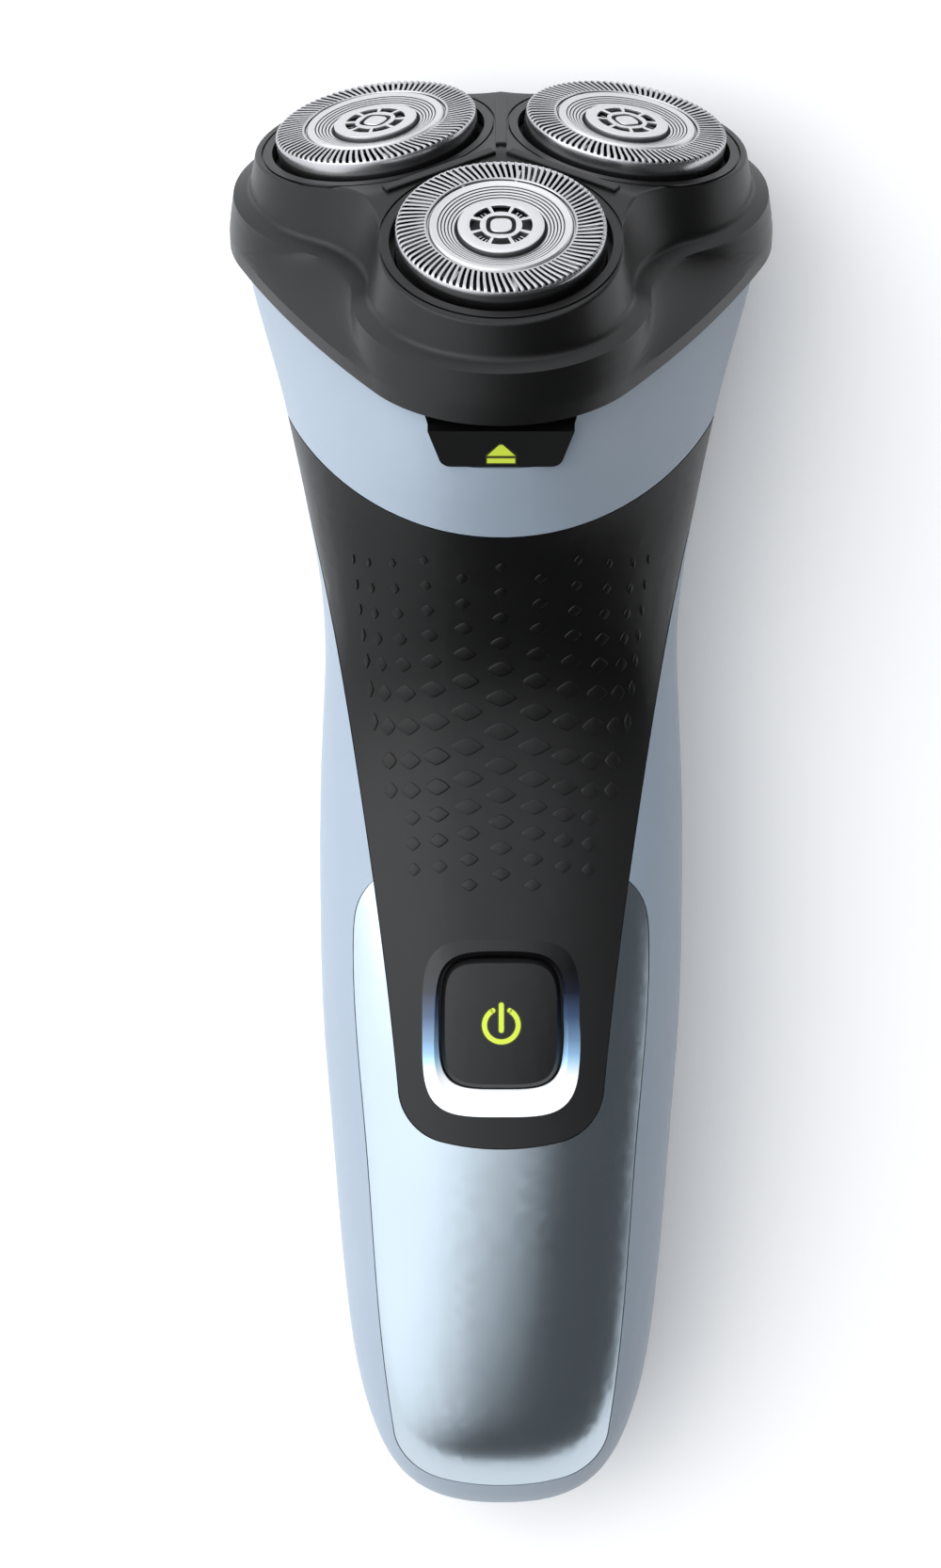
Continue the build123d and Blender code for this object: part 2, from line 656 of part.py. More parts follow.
def power_button():
    """Cap with a flange under the housing and a stem over the switch."""
    cap = column(Pos(0, BUTTON_Y) * squircle(BUTTON_HALF_X, BUTTON_HALF_Y, BUTTON_POWER), BUTTON_FLANGE_Z - 0.2, SPACE)
    cap &= Pos(0, 0, -BUTTON_SUNK) * OUTER
    cap = chamfer(cap.faces().sort_by(Axis.Z)[-1].edges(), BUTTON_BEVEL)
    flange = squircle(BUTTON_HALF_X + BUTTON_FLANGE, BUTTON_HALF_Y + BUTTON_FLANGE, BUTTON_POWER)
    flange = column(Pos(0, BUTTON_Y) * flange, BUTTON_FLANGE_Z - BUTTON_FLANGE_THICKNESS, BUTTON_FLANGE_Z)
    stem_low = BOARD_Z + BOARD_THICKNESS + SWITCH_HEIGHT + SWITCH_TRAVEL_GAP
    stem = Pos(0, BUTTON_Y) * rod(1.6, stem_low, BUTTON_FLANGE_Z)
    return cap + flange + stem


def release_button():
    """Trapezoid button under the head's rim."""
    return release_prism(0.0, -RELEASE_DEPTH, RELEASE_PROUD, 0.0)


# ---------------------------------------------------------------- head cover
def below_roof(drop):
    """Space under the three tilted planes that form the top of the cover."""
    space = None
    for angle in LOBES.values():
        half = lobe_plane(angle).location * block(-60, 60, -60, 60, -60, -drop)
        space = half if space is None else space & half
    return space


def clover_hollow(wall):
    """Hollow under the raised three-lobed part of the cover, a wall inside its sides."""
    narrow = CLOVER_DRAFT * (CLOVER_TOP_H - SHOULDER_H)
    low_h = SHOULDER_H - COVER_WALL
    form = Solid.make_loft([
        trefoil_wire(SHOULDER_RADIUS - wall, SHOULDER_WAIST - wall, low_h),
        trefoil_wire(SHOULDER_RADIUS - wall - narrow, SHOULDER_WAIST - wall - narrow, CLOVER_TOP_H),
    ], ruled=True)
    return form & below_roof(ROOF_DROP + COVER_WALL)


def cover_outside():
    """Outer form of the cover: rim, domed skirt, ledge, cove and clover under the tilted roof."""
    outlines = [(RIM_RADIUS, RIM_WAIST, SEAM_H + SEAM_GAP)]
    for step in range(SKIRT_STEPS + 1):
        share = 1 - step / SKIRT_STEPS
        bulge = sin(radians(SKIRT_BEND) * share) / sin(radians(SKIRT_BEND))
        outlines.append((
            LEDGE_RADIUS + (RIM_RADIUS - LEDGE_RADIUS) * bulge,
            LEDGE_WAIST + (RIM_WAIST - LEDGE_WAIST) * bulge,
            LEDGE_H + (RIM_H - LEDGE_H) * share,
        ))
    for step in range(COVE_STEPS + 1):
        turn = pi / 2 * step / COVE_STEPS
        aside = COVE_WIDTH * (1 - sin(turn))
        outlines.append((SHOULDER_RADIUS + aside, SHOULDER_WAIST + aside, SHOULDER_H - COVE_HEIGHT * cos(turn)))
    narrow = CLOVER_DRAFT * (CLOVER_TOP_H - SHOULDER_H)
    outlines.append((SHOULDER_RADIUS - narrow, SHOULDER_WAIST - narrow, CLOVER_TOP_H))
    form = Solid.make_loft([trefoil_wire(*outline) for outline in outlines], ruled=True)
    return form & below_roof(ROOF_DROP)


def skirt_hollow(wall):
    """Hollow under the ledge, the sloping shoulders and the rim of the cover, a wall inside them."""
    ledge = Solid.make_loft([
        trefoil_wire(SHOULDER_RADIUS - wall, SHOULDER_WAIST - wall, SHOULDER_H - wall),
        trefoil_wire(LEDGE_RADIUS - wall, LEDGE_WAIST - wall, LEDGE_H - wall),
    ], ruled=True)
    slope = Solid.make_loft([
        trefoil_wire(LEDGE_RADIUS - wall, LEDGE_WAIST - wall, LEDGE_H - wall),
        trefoil_wire(SKIRT_RADIUS - wall, SKIRT_WAIST - wall, SKIRT_H - wall / 2),
        trefoil_wire(RIM_RADIUS - wall, RIM_WAIST - wall, RIM_H),
    ])
    rim = trefoil_prism(RIM_RADIUS - wall, RIM_WAIST - wall, SEAM_H - HOLLOW_OVERRUN, RIM_H)
    return ledge + slope + rim


def head_cover():
    """Black cover: clover with three holes, skirt, central boss, hinge knuckles and catch."""
    cover = cover_outside()
    rims = [e for e in cover.edges() if e.center().Z > SHOULDER_H + 2.5 and hypot(e.center().X, e.center().Y) > 15]
    cover = fillet(rims, ROOF_EDGE_ROUND)
    for angle in LOBES.values():
        crease = pipe(CREASE_RADIUS + CREASE_WIDTH / 2, CREASE_RADIUS - CREASE_WIDTH / 2,
                      -ROOF_DROP - CREASE_DEPTH, 4)
        cover -= lobe_plane(angle).location * crease
    for angle in LOBES.values():
        slope = degrees(atan2(sin(radians(RING_TILT)) / 2, cos(radians(RING_TILT))))
        apex = (RING_PITCH * sin(radians(RING_TILT)) - ROOF_DROP) / cos(radians(RING_TILT))
        rib = block(RIB_START, RIB_END, -RIB_WIDTH / 2, RIB_WIDTH / 2, -1.0, RIB_HEIGHT)
        rib = fillet(rib.edges().group_by(Axis.Z)[-1], RIB_HEIGHT * 0.6)
        cover += Rot(0, 0, angle + 60) * Pos(0, 0, apex) * Rot(0, slope, 0) * rib
    cover -= clover_hollow(LOBE_WALL)
    cover -= skirt_hollow(COVER_WALL)
    for angle in LOBES.values():
        cover -= lobe_plane(angle).location * rod(HOLE_RADIUS, -ROOF_DROP - COVER_WALL - 1.0, 4)
    boss = rod(BOSS_RADIUS, FRAME_TOP + FRAME_GAP / 4, -0.5) - rod(LOCK_SHAFT_RADIUS + RUNNING_GAP, -20, -3)
    cover += boss & below_roof(ROOF_DROP + COVER_WALL / 2)
    for side in (-1, 1):
        knuckle = hinge_knuckle(side * KNUCKLE_X, KNUCKLE_RADIUS, KNUCKLE_LENGTH)
        x_low, x_high = side * KNUCKLE_X - KNUCKLE_LENGTH / 2, side * KNUCKLE_X + KNUCKLE_LENGTH / 2
        arm = block(x_low, x_high, HINGE_P - 1.1, HINGE_P + 1.0, HINGE_H, RIM_H)
        foot = block(x_low, x_high, HINGE_P - 1.1, RIM_WAIST - COVER_WALL / 2, SEAM_H + 0.4, RIM_H)
        pin_hole = hinge_knuckle(side * KNUCKLE_X, PIN_RADIUS + RUNNING_GAP, KNUCKLE_LENGTH + 2)
        cover += knuckle + arm + foot
        cover -= pin_hole
    catch_face = catch_front()
    web = block(-CATCH_HALF, CATCH_HALF, -RING_PITCH - RIM_RADIUS + COVER_WALL / 2, catch_face + CATCH_THICKNESS,
                RIM_H - 0.6, RIM_H + 0.4)
    tab = block(-CATCH_HALF, CATCH_HALF, catch_face, catch_face + CATCH_THICKNESS, DECK_BOTTOM + 0.8, RIM_H)
    return cover + web + tab


def catch_front():
    """Place of the catch's front face in the head's frame, just behind the pressed button."""
    centre = HEAD.to_local_coords(RELEASE.origin)
    return centre.Y + RELEASE_DEPTH + RELEASE_TRAVEL + CATCH_GAP


def hinge_pin():
    """Steel pin of the head's hinge."""
    return cross_rod(PIN_RADIUS, -PIN_LENGTH / 2, PIN_LENGTH / 2, HINGE_P, HINGE_H)


def retaining_frame():
    """Frame that holds guards and cutters in the cover."""
    radius, waist = LEDGE_RADIUS - COVER_WALL - FRAME_GAP, SHOULDER_WAIST
    frame = trefoil_prism(radius, waist, FRAME_TOP - FRAME_THICKNESS, FRAME_TOP)
    for angle in LOBES.values():
        frame -= spindle_location(angle) * rod(FRAME_WINDOW, FRAME_TOP - 5, FRAME_TOP + 5)
    return frame - rod(LOCK_SHAFT_RADIUS + RUNNING_GAP, FRAME_TOP - 5, FRAME_TOP + 5)


def retaining_lock():
    """Turning lock that clamps the frame to the cover's boss."""
    low = FRAME_TOP - FRAME_THICKNESS - LOCK_HEIGHT
    disc = rod(LOCK_RADIUS, low + LOCK_HEIGHT / 2, low + LOCK_HEIGHT - 0.1)
    wing = block(-LOCK_WING / 2, LOCK_WING / 2, -0.8, 0.8, low, low + LOCK_HEIGHT / 2 + 0.1)
    wing &= rod(LOCK_WING / 2, low - 1, low + LOCK_HEIGHT)
    return disc + wing + rod(LOCK_SHAFT_RADIUS, low + 0.5, FRAME_TOP + 5.0)


# ---------------------------------------------------------------- rings, in their own frame
def ring_guard():
    """Slotted steel cap: track with slots, groove, dished middle and pierced centre."""
    skin = GUARD_RADIUS - GUARD_WALL
    groove = TRACK_INNER - GROOVE_WIDTH
    half = [
        (0, CENTRE_RISE), (CENTRE_RADIUS, CENTRE_RISE), (DISH_RADIUS - 0.1, -0.05),
        (groove, -GROOVE_DEPTH), (TRACK_INNER - 0.05, -GROOVE_DEPTH), (TRACK_INNER, 0),
        (GUARD_RADIUS - GUARD_EDGE, 0), (GUARD_RADIUS, -GUARD_EDGE), (GUARD_RADIUS, -GUARD_HEIGHT),
        (skin, -GUARD_HEIGHT), (skin, -GUARD_SHEET - 0.15), (skin - 0.15, -GUARD_SHEET),
        (TRACK_INNER + 0.1, -GUARD_SHEET), (groove, -GROOVE_DEPTH - GUARD_SHEET),
        (CENTRE_RADIUS, CENTRE_RISE - GUARD_SHEET), (0, CENTRE_RISE - GUARD_SHEET),
    ]
    profile = Face(Wire.make_polygon([Vector(r, 0, z) for r, z in half]))
    guard = revolve(profile, Axis.Z)
    slots = [
        Rot(0, 0, 360 * step / SLOT_COUNT)
        * block(SLOT_START, SLOT_END, -SLOT_WIDTH / 2, SLOT_WIDTH / 2, -GUARD_SHEET - 0.5, 0.5)
        for step in range(SLOT_COUNT)
    ]
    guard -= slots
    for step in range(4):
        wedge = pipe(PETAL_OUTER, PETAL_INNER, -2, 2)
        wedge &= Rot(0, 0, 90 * step) * wedge_block(PETAL_ANGLE)
        guard -= wedge
    return guard


def wedge_block(angle):
    """Sector about the x axis that cuts one petal out of a ring."""
    reach = 6.0
    half = reach * tan(radians(angle / 2))
    sector = Face(Wire.make_polygon([Vector(0, 0, -3), Vector(reach, -half, -3), Vector(reach, half, -3)]))
    return extrude(sector, 6, (0, 0, 1))


def ring_carrier():
    """Plastic ring in which the guard sinks and tilts."""
    inner = GUARD_RADIUS + CARRIER_CLEARANCE
    return pipe(inner + CARRIER_WALL, inner, CARRIER_TOP - CARRIER_HEIGHT, CARRIER_TOP)


def cutter():
    """Steel cutter: disc with raked blades that run under the slots."""
    low = CUTTER_DISC_TOP - CUTTER_DISC_THICKNESS
    disc = rod(BLADE_INNER + 0.3, low, CUTTER_DISC_TOP)
    disc -= [Rot(0, 0, 120 * step) * Pos(5.6, 0) * rod(1.3, low - 1, 1) for step in range(3)]
    disc -= rod(HUB_NOSE_RADIUS, low - 1, 1)
    height = -GUARD_SHEET - BLADE_RUN - low
    for step in range(BLADE_COUNT):
        blade = block(BLADE_INNER, BLADE_OUTER, -BLADE_THICKNESS, 0, 0, height)
        foot = block(BLADE_INNER - 1.5, BLADE_OUTER, -BLADE_THICKNESS - 1.2, 0, 0, BLADE_THICKNESS)
        disc += Rot(0, 0, 360 * step / BLADE_COUNT) * Pos(0, 0, low) * (blade + foot)
    return disc


def cutter_hub():
    """Plastic coupler under the cutter, with a square socket for the spindle's key."""
    hub = rod(HUB_RADIUS, HUB_BOTTOM, CUTTER_DISC_TOP - CUTTER_DISC_THICKNESS)
    hub += rod(HUB_NOSE_RADIUS, HUB_BOTTOM + 1, HUB_NOSE_TOP)
    half = KEY_WIDTH / 2 + SOCKET_CLEARANCE
    depth = KEY_ENGAGEMENT + RING_SINK + SINK_ROOM
    return hub - block(-half, half, -half, half, HUB_BOTTOM - 1, HUB_BOTTOM + depth)


# ---------------------------------------------------------------- drive, in the head's frame
def gear(teeth, low, high, phase, bore):
    """Straight-sided spur gear about z with one tooth at the phase angle."""
    radius = MODULE * teeth / 2
    tip, root = radius + 0.85 * MODULE, radius - 1.15 * MODULE
    slope = tan(radians(20))
    half = (pi * MODULE / 2 - BACKLASH) / 2
    half_tip, half_root = half - 0.85 * MODULE * slope, half + 1.15 * MODULE * slope
    outline = []
    for tooth in range(teeth):
        middle = radians(phase) + 2 * pi * tooth / teeth
        for reach, offset_angle in ((root, -half_root / root), (tip, -half_tip / tip),
                                    (tip, half_tip / tip), (root, half_root / root)):
            angle = middle + offset_angle
            outline.append(Vector(reach * cos(angle), reach * sin(angle), low))
    wheel = extrude(Face(Wire.make_polygon(outline)), high - low, (0, 0, 1))
    return wheel - rod(bore, low - 1, high + 1) if bore else wheel


def centre_gear():
    """Compound gear on the head axis: wide gear for the spindles over a wheel for the pinion."""
    bore = CENTRE_PIN_RADIUS + RUNNING_GAP
    wheel_phase = -90.0
    sun = gear(SUN_TEETH, GEAR_BOTTOM, GEAR_TOP, 0.0, None)
    wheel = gear(WHEEL_TEETH, WHEEL_BOTTOM, WHEEL_TOP, wheel_phase, None)
    hub = rod(3.2, WHEEL_BOTTOM, GEAR_TOP)
    return sun + wheel + hub - rod(bore, WHEEL_BOTTOM - 1, GEAR_TOP + 1)


def centre_pin():
    """Fixed pin of the centre gear, from the case floor into the deck."""
    return rod(CENTRE_PIN_RADIUS, CASE_BOTTOM, DECK_BOTTOM + 1.0)


def spindle_gear():
    """Gear of one spindle, with a tooth towards the head axis."""
    return gear(PLANET_TEETH, GEAR_BOTTOM, GEAR_TOP, 180.0, SPINDLE_RADIUS)


def drive_spindle():
    """Spindle with a collar above the seal and a square key on top."""
    shaft = rod(SPINDLE_RADIUS, TRAY_FLOOR_BOTTOM + 0.2, SPINDLE_NECK_H - 1)
    collar_low = DECK_TOP + SEAL_HEIGHT + 0.2
    collar = rod(SPINDLE_COLLAR, collar_low, SPINDLE_NECK_H)
    neck = Solid.make_cone(SPINDLE_COLLAR, KEY_WIDTH / 2, 0.6, Plane((0, 0, SPINDLE_NECK_H)))
    half = KEY_WIDTH / 2
    key = block(-half, half, -half, half, SPINDLE_NECK_H, KEY_TOP_H)
    return shaft + collar + neck + key


def deck_outline(shrink, low, high):
    """Prism that fits in the collar above the ledge, clear of hinge and catch."""
    radius, waist = COLLAR_RADIUS - COLLAR_WALL - shrink, COLLAR_WAIST - COLLAR_WALL - shrink
    prism = trefoil_prism(radius, waist, low, high)
    half = PIN_LENGTH / 2 + 1.0
    prism -= block(-half, half, HINGE_P - KNUCKLE_RADIUS - 0.6, 40, low - 1, high + 1)
    half = RELEASE_TOP_HALF + RELEASE_GAP + 0.6
    return prism - block(-half, half, -40, catch_front() + CATCH_THICKNESS + 0.3, low - 1, high + 1)


def drive_deck():
    """Lid of the gear case, which closes the body under the head."""
    deck = deck_outline(DECK_GAP, DECK_BOTTOM, DECK_TOP)
    rebate = deck_outline(DECK_GAP - 1, DECK_BOTTOM - 1, DECK_BOTTOM + GASKET_THICKNESS)
    rebate -= deck_outline(DECK_GAP + GASKET_WIDTH, DECK_BOTTOM - 2, DECK_BOTTOM + 2)
    deck -= rebate
    for angle in LOBES.values():
        deck -= spindle_location(angle) * rod(SPINDLE_RADIUS + RUNNING_GAP, -40, 0)
        screw = Rot(0, 0, angle + 60) * Pos(SCREW_PITCH, 0)
        deck -= screw * rod(SCREW_RADIUS + 0.15, -40, 0)
        deck -= screw * rod(SCREW_HEAD_RADIUS + 0.2, DECK_TOP - SCREW_HEAD_HEIGHT, 0)
    return deck - rod(CENTRE_PIN_RADIUS, -40, DECK_BOTTOM + 1.0)


def deck_gasket():
    """Rubber gasket under the deck's edge."""
    low, high = DECK_BOTTOM, DECK_BOTTOM + GASKET_THICKNESS
    return deck_outline(DECK_GAP, low, high) - deck_outline(DECK_GAP + GASKET_WIDTH, low - 1, high + 1)


def spindle_seals():
    """Lip seals of the three spindles."""
    seals = []
    for angle in LOBES.values():
        seals += (spindle_location(angle) * pipe(SEAL_RADIUS, SPINDLE_RADIUS + RUNNING_GAP, DECK_TOP,
                                                 DECK_TOP + SEAL_HEIGHT)).solids()
    return Compound(seals)


def deck_screws():
    """Three screws that hold the deck to the gear case."""
    screws = []
    for angle in LOBES.values():
        screw = rod(SCREW_HEAD_RADIUS, DECK_TOP - SCREW_HEAD_HEIGHT, DECK_TOP)
        screw += rod(SCREW_RADIUS, DECK_TOP - SCREW_HEAD_HEIGHT - SCREW_LENGTH, DECK_TOP)
        screw -= block(-1.2, 1.2, -0.2, 0.2, DECK_TOP - 0.5, DECK_TOP + 1)
        screw -= block(-0.2, 0.2, -1.2, 1.2, DECK_TOP - 0.5, DECK_TOP + 1)
        screws += (Rot(0, 0, angle + 60) * Pos(SCREW_PITCH, 0) * screw).solids()
    return Compound(screws)


def pot_prism(shrink, low, high):
    """Round pot under the tray, about the wheel and the motor's pinion."""
    wheel = rod(MODULE * WHEEL_TEETH / 2 + MODULE + CASE_GAP + CASE_WALL - shrink, low, high)
    pinion = Pos(0, -MOTOR_OFFSET) * rod(MODULE * PINION_TEETH / 2 + MODULE + CASE_GAP + CASE_WALL - shrink, low, high)
    return wheel + pinion


def gear_case():
    """Tray of the spindle gears with the pot of wheel and pinion below it."""
    case = trefoil_prism(CASE_LOBE, CASE_WAIST, TRAY_FLOOR_BOTTOM, DECK_BOTTOM, SPINDLE_PITCH)
    case -= trefoil_prism(CASE_LOBE - CASE_WALL, CASE_WAIST - CASE_WALL, TRAY_FLOOR_TOP, 0, SPINDLE_PITCH)
    case += pot_prism(0, CASE_BOTTOM, TRAY_FLOOR_TOP)
    case -= pot_prism(CASE_WALL, POT_FLOOR_TOP, 0)
    for angle in LOBES.values():
        place = Rot(0, 0, angle + 60) * Pos(SCREW_PITCH, 0)
        case += place * rod(POST_RADIUS, TRAY_FLOOR_BOTTOM, DECK_BOTTOM)
        case -= place * rod(SCREW_RADIUS, DECK_TOP - SCREW_HEAD_HEIGHT - SCREW_LENGTH - SCREW_END_ROOM, 0)
        case -= spindle_location(angle) * rod(SPINDLE_RADIUS + RUNNING_GAP, -60, 0)
    case -= rod(CENTRE_PIN_RADIUS, -60, 0)
    return case - Pos(0, -MOTOR_OFFSET) * rod(MOTOR_BOSS_RADIUS, -60, POT_FLOOR_TOP + 0.01)


def drive_motor():
    """Direct-current motor: flattened can, bearing boss and end cap."""
    low = CASE_BOTTOM - MOTOR_LENGTH
    can = rod(MOTOR_RADIUS, low, CASE_BOTTOM) & block(-MOTOR_FLAT, MOTOR_FLAT, -SPACE, SPACE, low, CASE_BOTTOM)
    inside = rod(MOTOR_RADIUS - MOTOR_WALL, low + MOTOR_END, CASE_BOTTOM - MOTOR_END)
    half = MOTOR_FLAT - MOTOR_WALL
    can -= inside & block(-half, half, -SPACE, SPACE, low, CASE_BOTTOM)
    can += rod(MOTOR_BOSS_RADIUS, CASE_BOTTOM, POT_FLOOR_TOP)
    can -= rod(MOTOR_SHAFT_RADIUS + RUNNING_GAP, low + MOTOR_WALL, SPACE)
    return Pos(0, -MOTOR_OFFSET) * can


def motor_shaft():
    """Shaft of the motor."""
    return Pos(0, -MOTOR_OFFSET) * rod(MOTOR_SHAFT_RADIUS, CASE_BOTTOM - MOTOR_LENGTH + MOTOR_WALL + 0.1, WHEEL_TOP)


def motor_armature():
    """Wound armature on the motor's shaft."""
    low, high = CASE_BOTTOM - MOTOR_LENGTH + MOTOR_END + ARMATURE_GAP, CASE_BOTTOM - MOTOR_END - ARMATURE_GAP
    return Pos(0, -MOTOR_OFFSET) * pipe(ARMATURE_RADIUS, MOTOR_SHAFT_RADIUS, low, high)


def motor_pinion():
    """Pinion on the motor's shaft, with a gap between two teeth towards the wheel."""
    half_tooth = 180 / PINION_TEETH
    return Pos(0, -MOTOR_OFFSET) * gear(PINION_TEETH, WHEEL_BOTTOM, WHEEL_TOP, 90 + half_tooth, MOTOR_SHAFT_RADIUS)


# ---------------------------------------------------------------- inside the body
def inner_frame():
    """Plastic frame: tray over the battery, two cradles and posts for the board."""
    end = BATTERY_Y + BATTERY_LENGTH
    frame = block(-TRAY_HALF, TRAY_HALF, BATTERY_Y + 1, end - 1, TRAY_Z, TRAY_Z + TRAY_THICKNESS)
    for y in CRADLE_Y:
        frame += block(-CRADLE_HALF, CRADLE_HALF, y, y + CRADLE_THICKNESS, 0, TRAY_Z + 0.5)
        for x in (-TRAY_HALF + 2, TRAY_HALF - 2):
            frame += Pos(x, y + CRADLE_THICKNESS / 2) * rod(1.5, TRAY_Z, BOARD_Z)
    frame -= Pos(0, 0, BATTERY_Z) * Rot(-90, 0, 0) * rod(BATTERY_RADIUS + 0.1, 0, SPACE)
    return frame & body_form(BODY_WALL + 0.2, FIRST_HOLLOW_STATION)


def battery_cell():
    """Round rechargeable cell with its positive cap."""
    cell = rod(BATTERY_RADIUS, 0, BATTERY_LENGTH - 1.0) + rod(2.8, 0, BATTERY_LENGTH)
    return Pos(0, BATTERY_Y, BATTERY_Z) * Rot(-90, 0, 0) * cell


def battery_contacts():
    """Two spring strips from the cell's ends to the board."""
    strips = []
    for y in (BATTERY_Y - CONTACT_THICKNESS, BATTERY_Y + BATTERY_LENGTH):
        strips += block(-2.5, 2.5, y, y + CONTACT_THICKNESS, BATTERY_Z - 2, BOARD_Z).solids()
    return Compound(strips)


def circuit_board():
    """Board over the battery."""
    board = block(-BOARD_HALF, BOARD_HALF, BOARD_START, BOARD_END, BOARD_Z, BOARD_Z + BOARD_THICKNESS)
    return board & body_form(BODY_WALL + 0.3, FIRST_HOLLOW_STATION)


def board_components():
    """Controller, coil and capacitors on the board."""
    top = BOARD_Z + BOARD_THICKNESS
    parts = []
    parts += block(-3.5, 3.5, 40, 47, top, top + 1.2).solids()
    parts += block(-8, -3, 72, 77, top, top + 2.4).solids()
    parts += block(3, 8.5, 30, 33.5, top, top + 1.6).solids()
    parts += (Pos(5.5, 74.5) * rod(2.0, top, top + 3.6)).solids()
    return Compound(parts)


def power_switch():
    """Tactile switch under the power button."""
    top = BOARD_Z + BOARD_THICKNESS
    body = block(-SWITCH_HALF, SWITCH_HALF, BUTTON_Y - SWITCH_HALF, BUTTON_Y + SWITCH_HALF, top, top + SWITCH_HEIGHT - 0.8)
    return body + Pos(0, BUTTON_Y) * rod(1.7, top, top + SWITCH_HEIGHT)


def charging_socket():
    """Oval inlet for the charging lead at the bottom end."""
    socket = socket_stadium(SOCKET_HALF_X, SOCKET_HALF_Z, 0.1, SOCKET_LENGTH)
    socket -= socket_stadium(SOCKET_HALF_X - SOCKET_WALL, SOCKET_HALF_Z - SOCKET_WALL, -1, SOCKET_RECESS)
    for x in (-CHARGE_PIN_PITCH / 2, CHARGE_PIN_PITCH / 2):
        socket -= Pos(x, 0, SOCKET_Z) * Rot(-90, 0, 0) * rod(CHARGE_PIN_RADIUS, 0, SPACE)
    return socket


def charging_pins():
    """Two contact pins of the inlet."""
    pins = []
    for x in (-CHARGE_PIN_PITCH / 2, CHARGE_PIN_PITCH / 2):
        pin = rod(CHARGE_PIN_RADIUS, SOCKET_RECESS - CHARGE_PIN_PROUD, SOCKET_LENGTH + 1.5)
        pins += (Pos(x, 0, SOCKET_Z) * Rot(-90, 0, 0) * pin).solids()
    return Compound(pins)


# ---------------------------------------------------------------- trimmer
def trimmer_arm():
    """Pop-up arm, flush with the back, turning about its lower end."""
    arm = cross_rod(TRIMMER_KNUCKLE, -TRIMMER_HALF, TRIMMER_HALF, TRIMMER_HINGE_Y, TRIMMER_HINGE_Z)
    plate = block(-TRIMMER_HALF, TRIMMER_HALF, TRIMMER_HINGE_Y, TRIMMER_END_Y - COMB_LENGTH, 0,
                  TRIMMER_HINGE_Z + TRIMMER_KNUCKLE - 0.3)
    plate &= Pos(0, 0, 0.2) * OUTER
    arm += plate
    arm -= cross_rod(TRIMMER_PIN + RUNNING_GAP, -TRIMMER_HALF - 1, TRIMMER_HALF + 1, TRIMMER_HINGE_Y, TRIMMER_HINGE_Z)
    blade_bed = COMB_THICKNESS * 2 + 0.1
    return arm - block(-SPACE, SPACE, TRIMMER_END_Y - 6, SPACE, comb_low(), comb_low() + blade_bed)


def comb_low():
    """Height of the comb's outer face in the arm."""
    return TRIMMER_HINGE_Z - 0.6


def comb_plate(low, length, pitch_shift):
    """Toothed steel strip at the arm's free end."""
    half = COMB_TEETH * COMB_PITCH / 2 - 0.3
    plate = block(-half, half, TRIMMER_END_Y - 5.4, TRIMMER_END_Y - length, low, low + COMB_THICKNESS)
    for tooth in range(COMB_TEETH - 1):
        x = (tooth - (COMB_TEETH - 2) / 2) * COMB_PITCH + pitch_shift
        plate += block(x - COMB_TOOTH / 2, x + COMB_TOOTH / 2, TRIMMER_END_Y - length - 0.5, TRIMMER_END_Y,
                       low, low + COMB_THICKNESS)
    return plate


def trimmer_comb():
    """Fixed comb of the trimmer."""
    return comb_plate(comb_low(), COMB_LENGTH, 0.0)


def trimmer_blade():
    """Moving blade over the comb."""
    return Pos(0, -0.25, 0) * comb_plate(comb_low() + COMB_THICKNESS + 0.05, COMB_LENGTH, 0.0)


def trimmer_pin():
    """Hinge pin of the trimmer arm."""
    return cross_rod(TRIMMER_PIN, -TRIMMER_HALF - 2, TRIMMER_HALF + 2, TRIMMER_HINGE_Y, TRIMMER_HINGE_Z)


def trimmer_slide():
    """Ribbed slide that lets the trimmer pop up, held through a slot in the rear housing."""
    half = SLIDE_HALF
    top = block(-half, half, SLIDE_START, SLIDE_END, 0, 8) & (Pos(0, 0, -SLIDE_PROUD) * OUTER)
    top -= Pos(0, 0, -0.1) * OUTER
    for step in range(4):
        y = SLIDE_START + 1.6 + step * 1.4
        top -= block(-half + 0.8, half - 0.8, y, y + 0.6, 0, 2.6)
    neck = block(-half + 2.4, half - 2.4, SLIDE_START + 1, SLIDE_END - 1, 3.0, 6.6)
    plate = block(-half + 0.6, half - 0.6, SLIDE_START + 1, SLIDE_END - 1, 6.6, 7.6)
    return top + neck + plate


# ---------------------------------------------------------------- assembly
def ring_parts():
    """Guards, carriers, cutters and hubs, copied to the three rings."""
    makers = {
        "ring_guard": ring_guard(), "ring_carrier": ring_carrier(),
        "cutter": cutter(), "cutter_hub": cutter_hub(),
    }
    return {
        f"{name}_{lobe}": in_head(lobe_plane(angle).location * shape)
        for name, shape in makers.items() for lobe, angle in LOBES.items()
    }


def spindle_parts():
    """Spindles and their gears, copied to the three places."""
    makers = {"spindle_gear": spindle_gear(), "drive_spindle": drive_spindle()}
    return {
        f"{name}_{lobe}": in_head(spindle_location(angle) * shape)
        for name, shape in makers.items() for lobe, angle in LOBES.items()
    }


BODY_PARTS = (
    front_housing, rear_housing, grip_panel, lower_panel, button_bezel, power_button, release_button,
    inner_frame, battery_cell, battery_contacts, circuit_board, board_components, power_switch,
    charging_socket, charging_pins, trimmer_arm, trimmer_comb, trimmer_blade, trimmer_pin, trimmer_slide,
)
HEAD_PARTS = (
    head_cover, hinge_pin, retaining_frame, retaining_lock, drive_deck, deck_gasket, spindle_seals,
    deck_screws, gear_case, centre_gear, centre_pin, drive_motor, motor_shaft, motor_armature, motor_pinion,
)


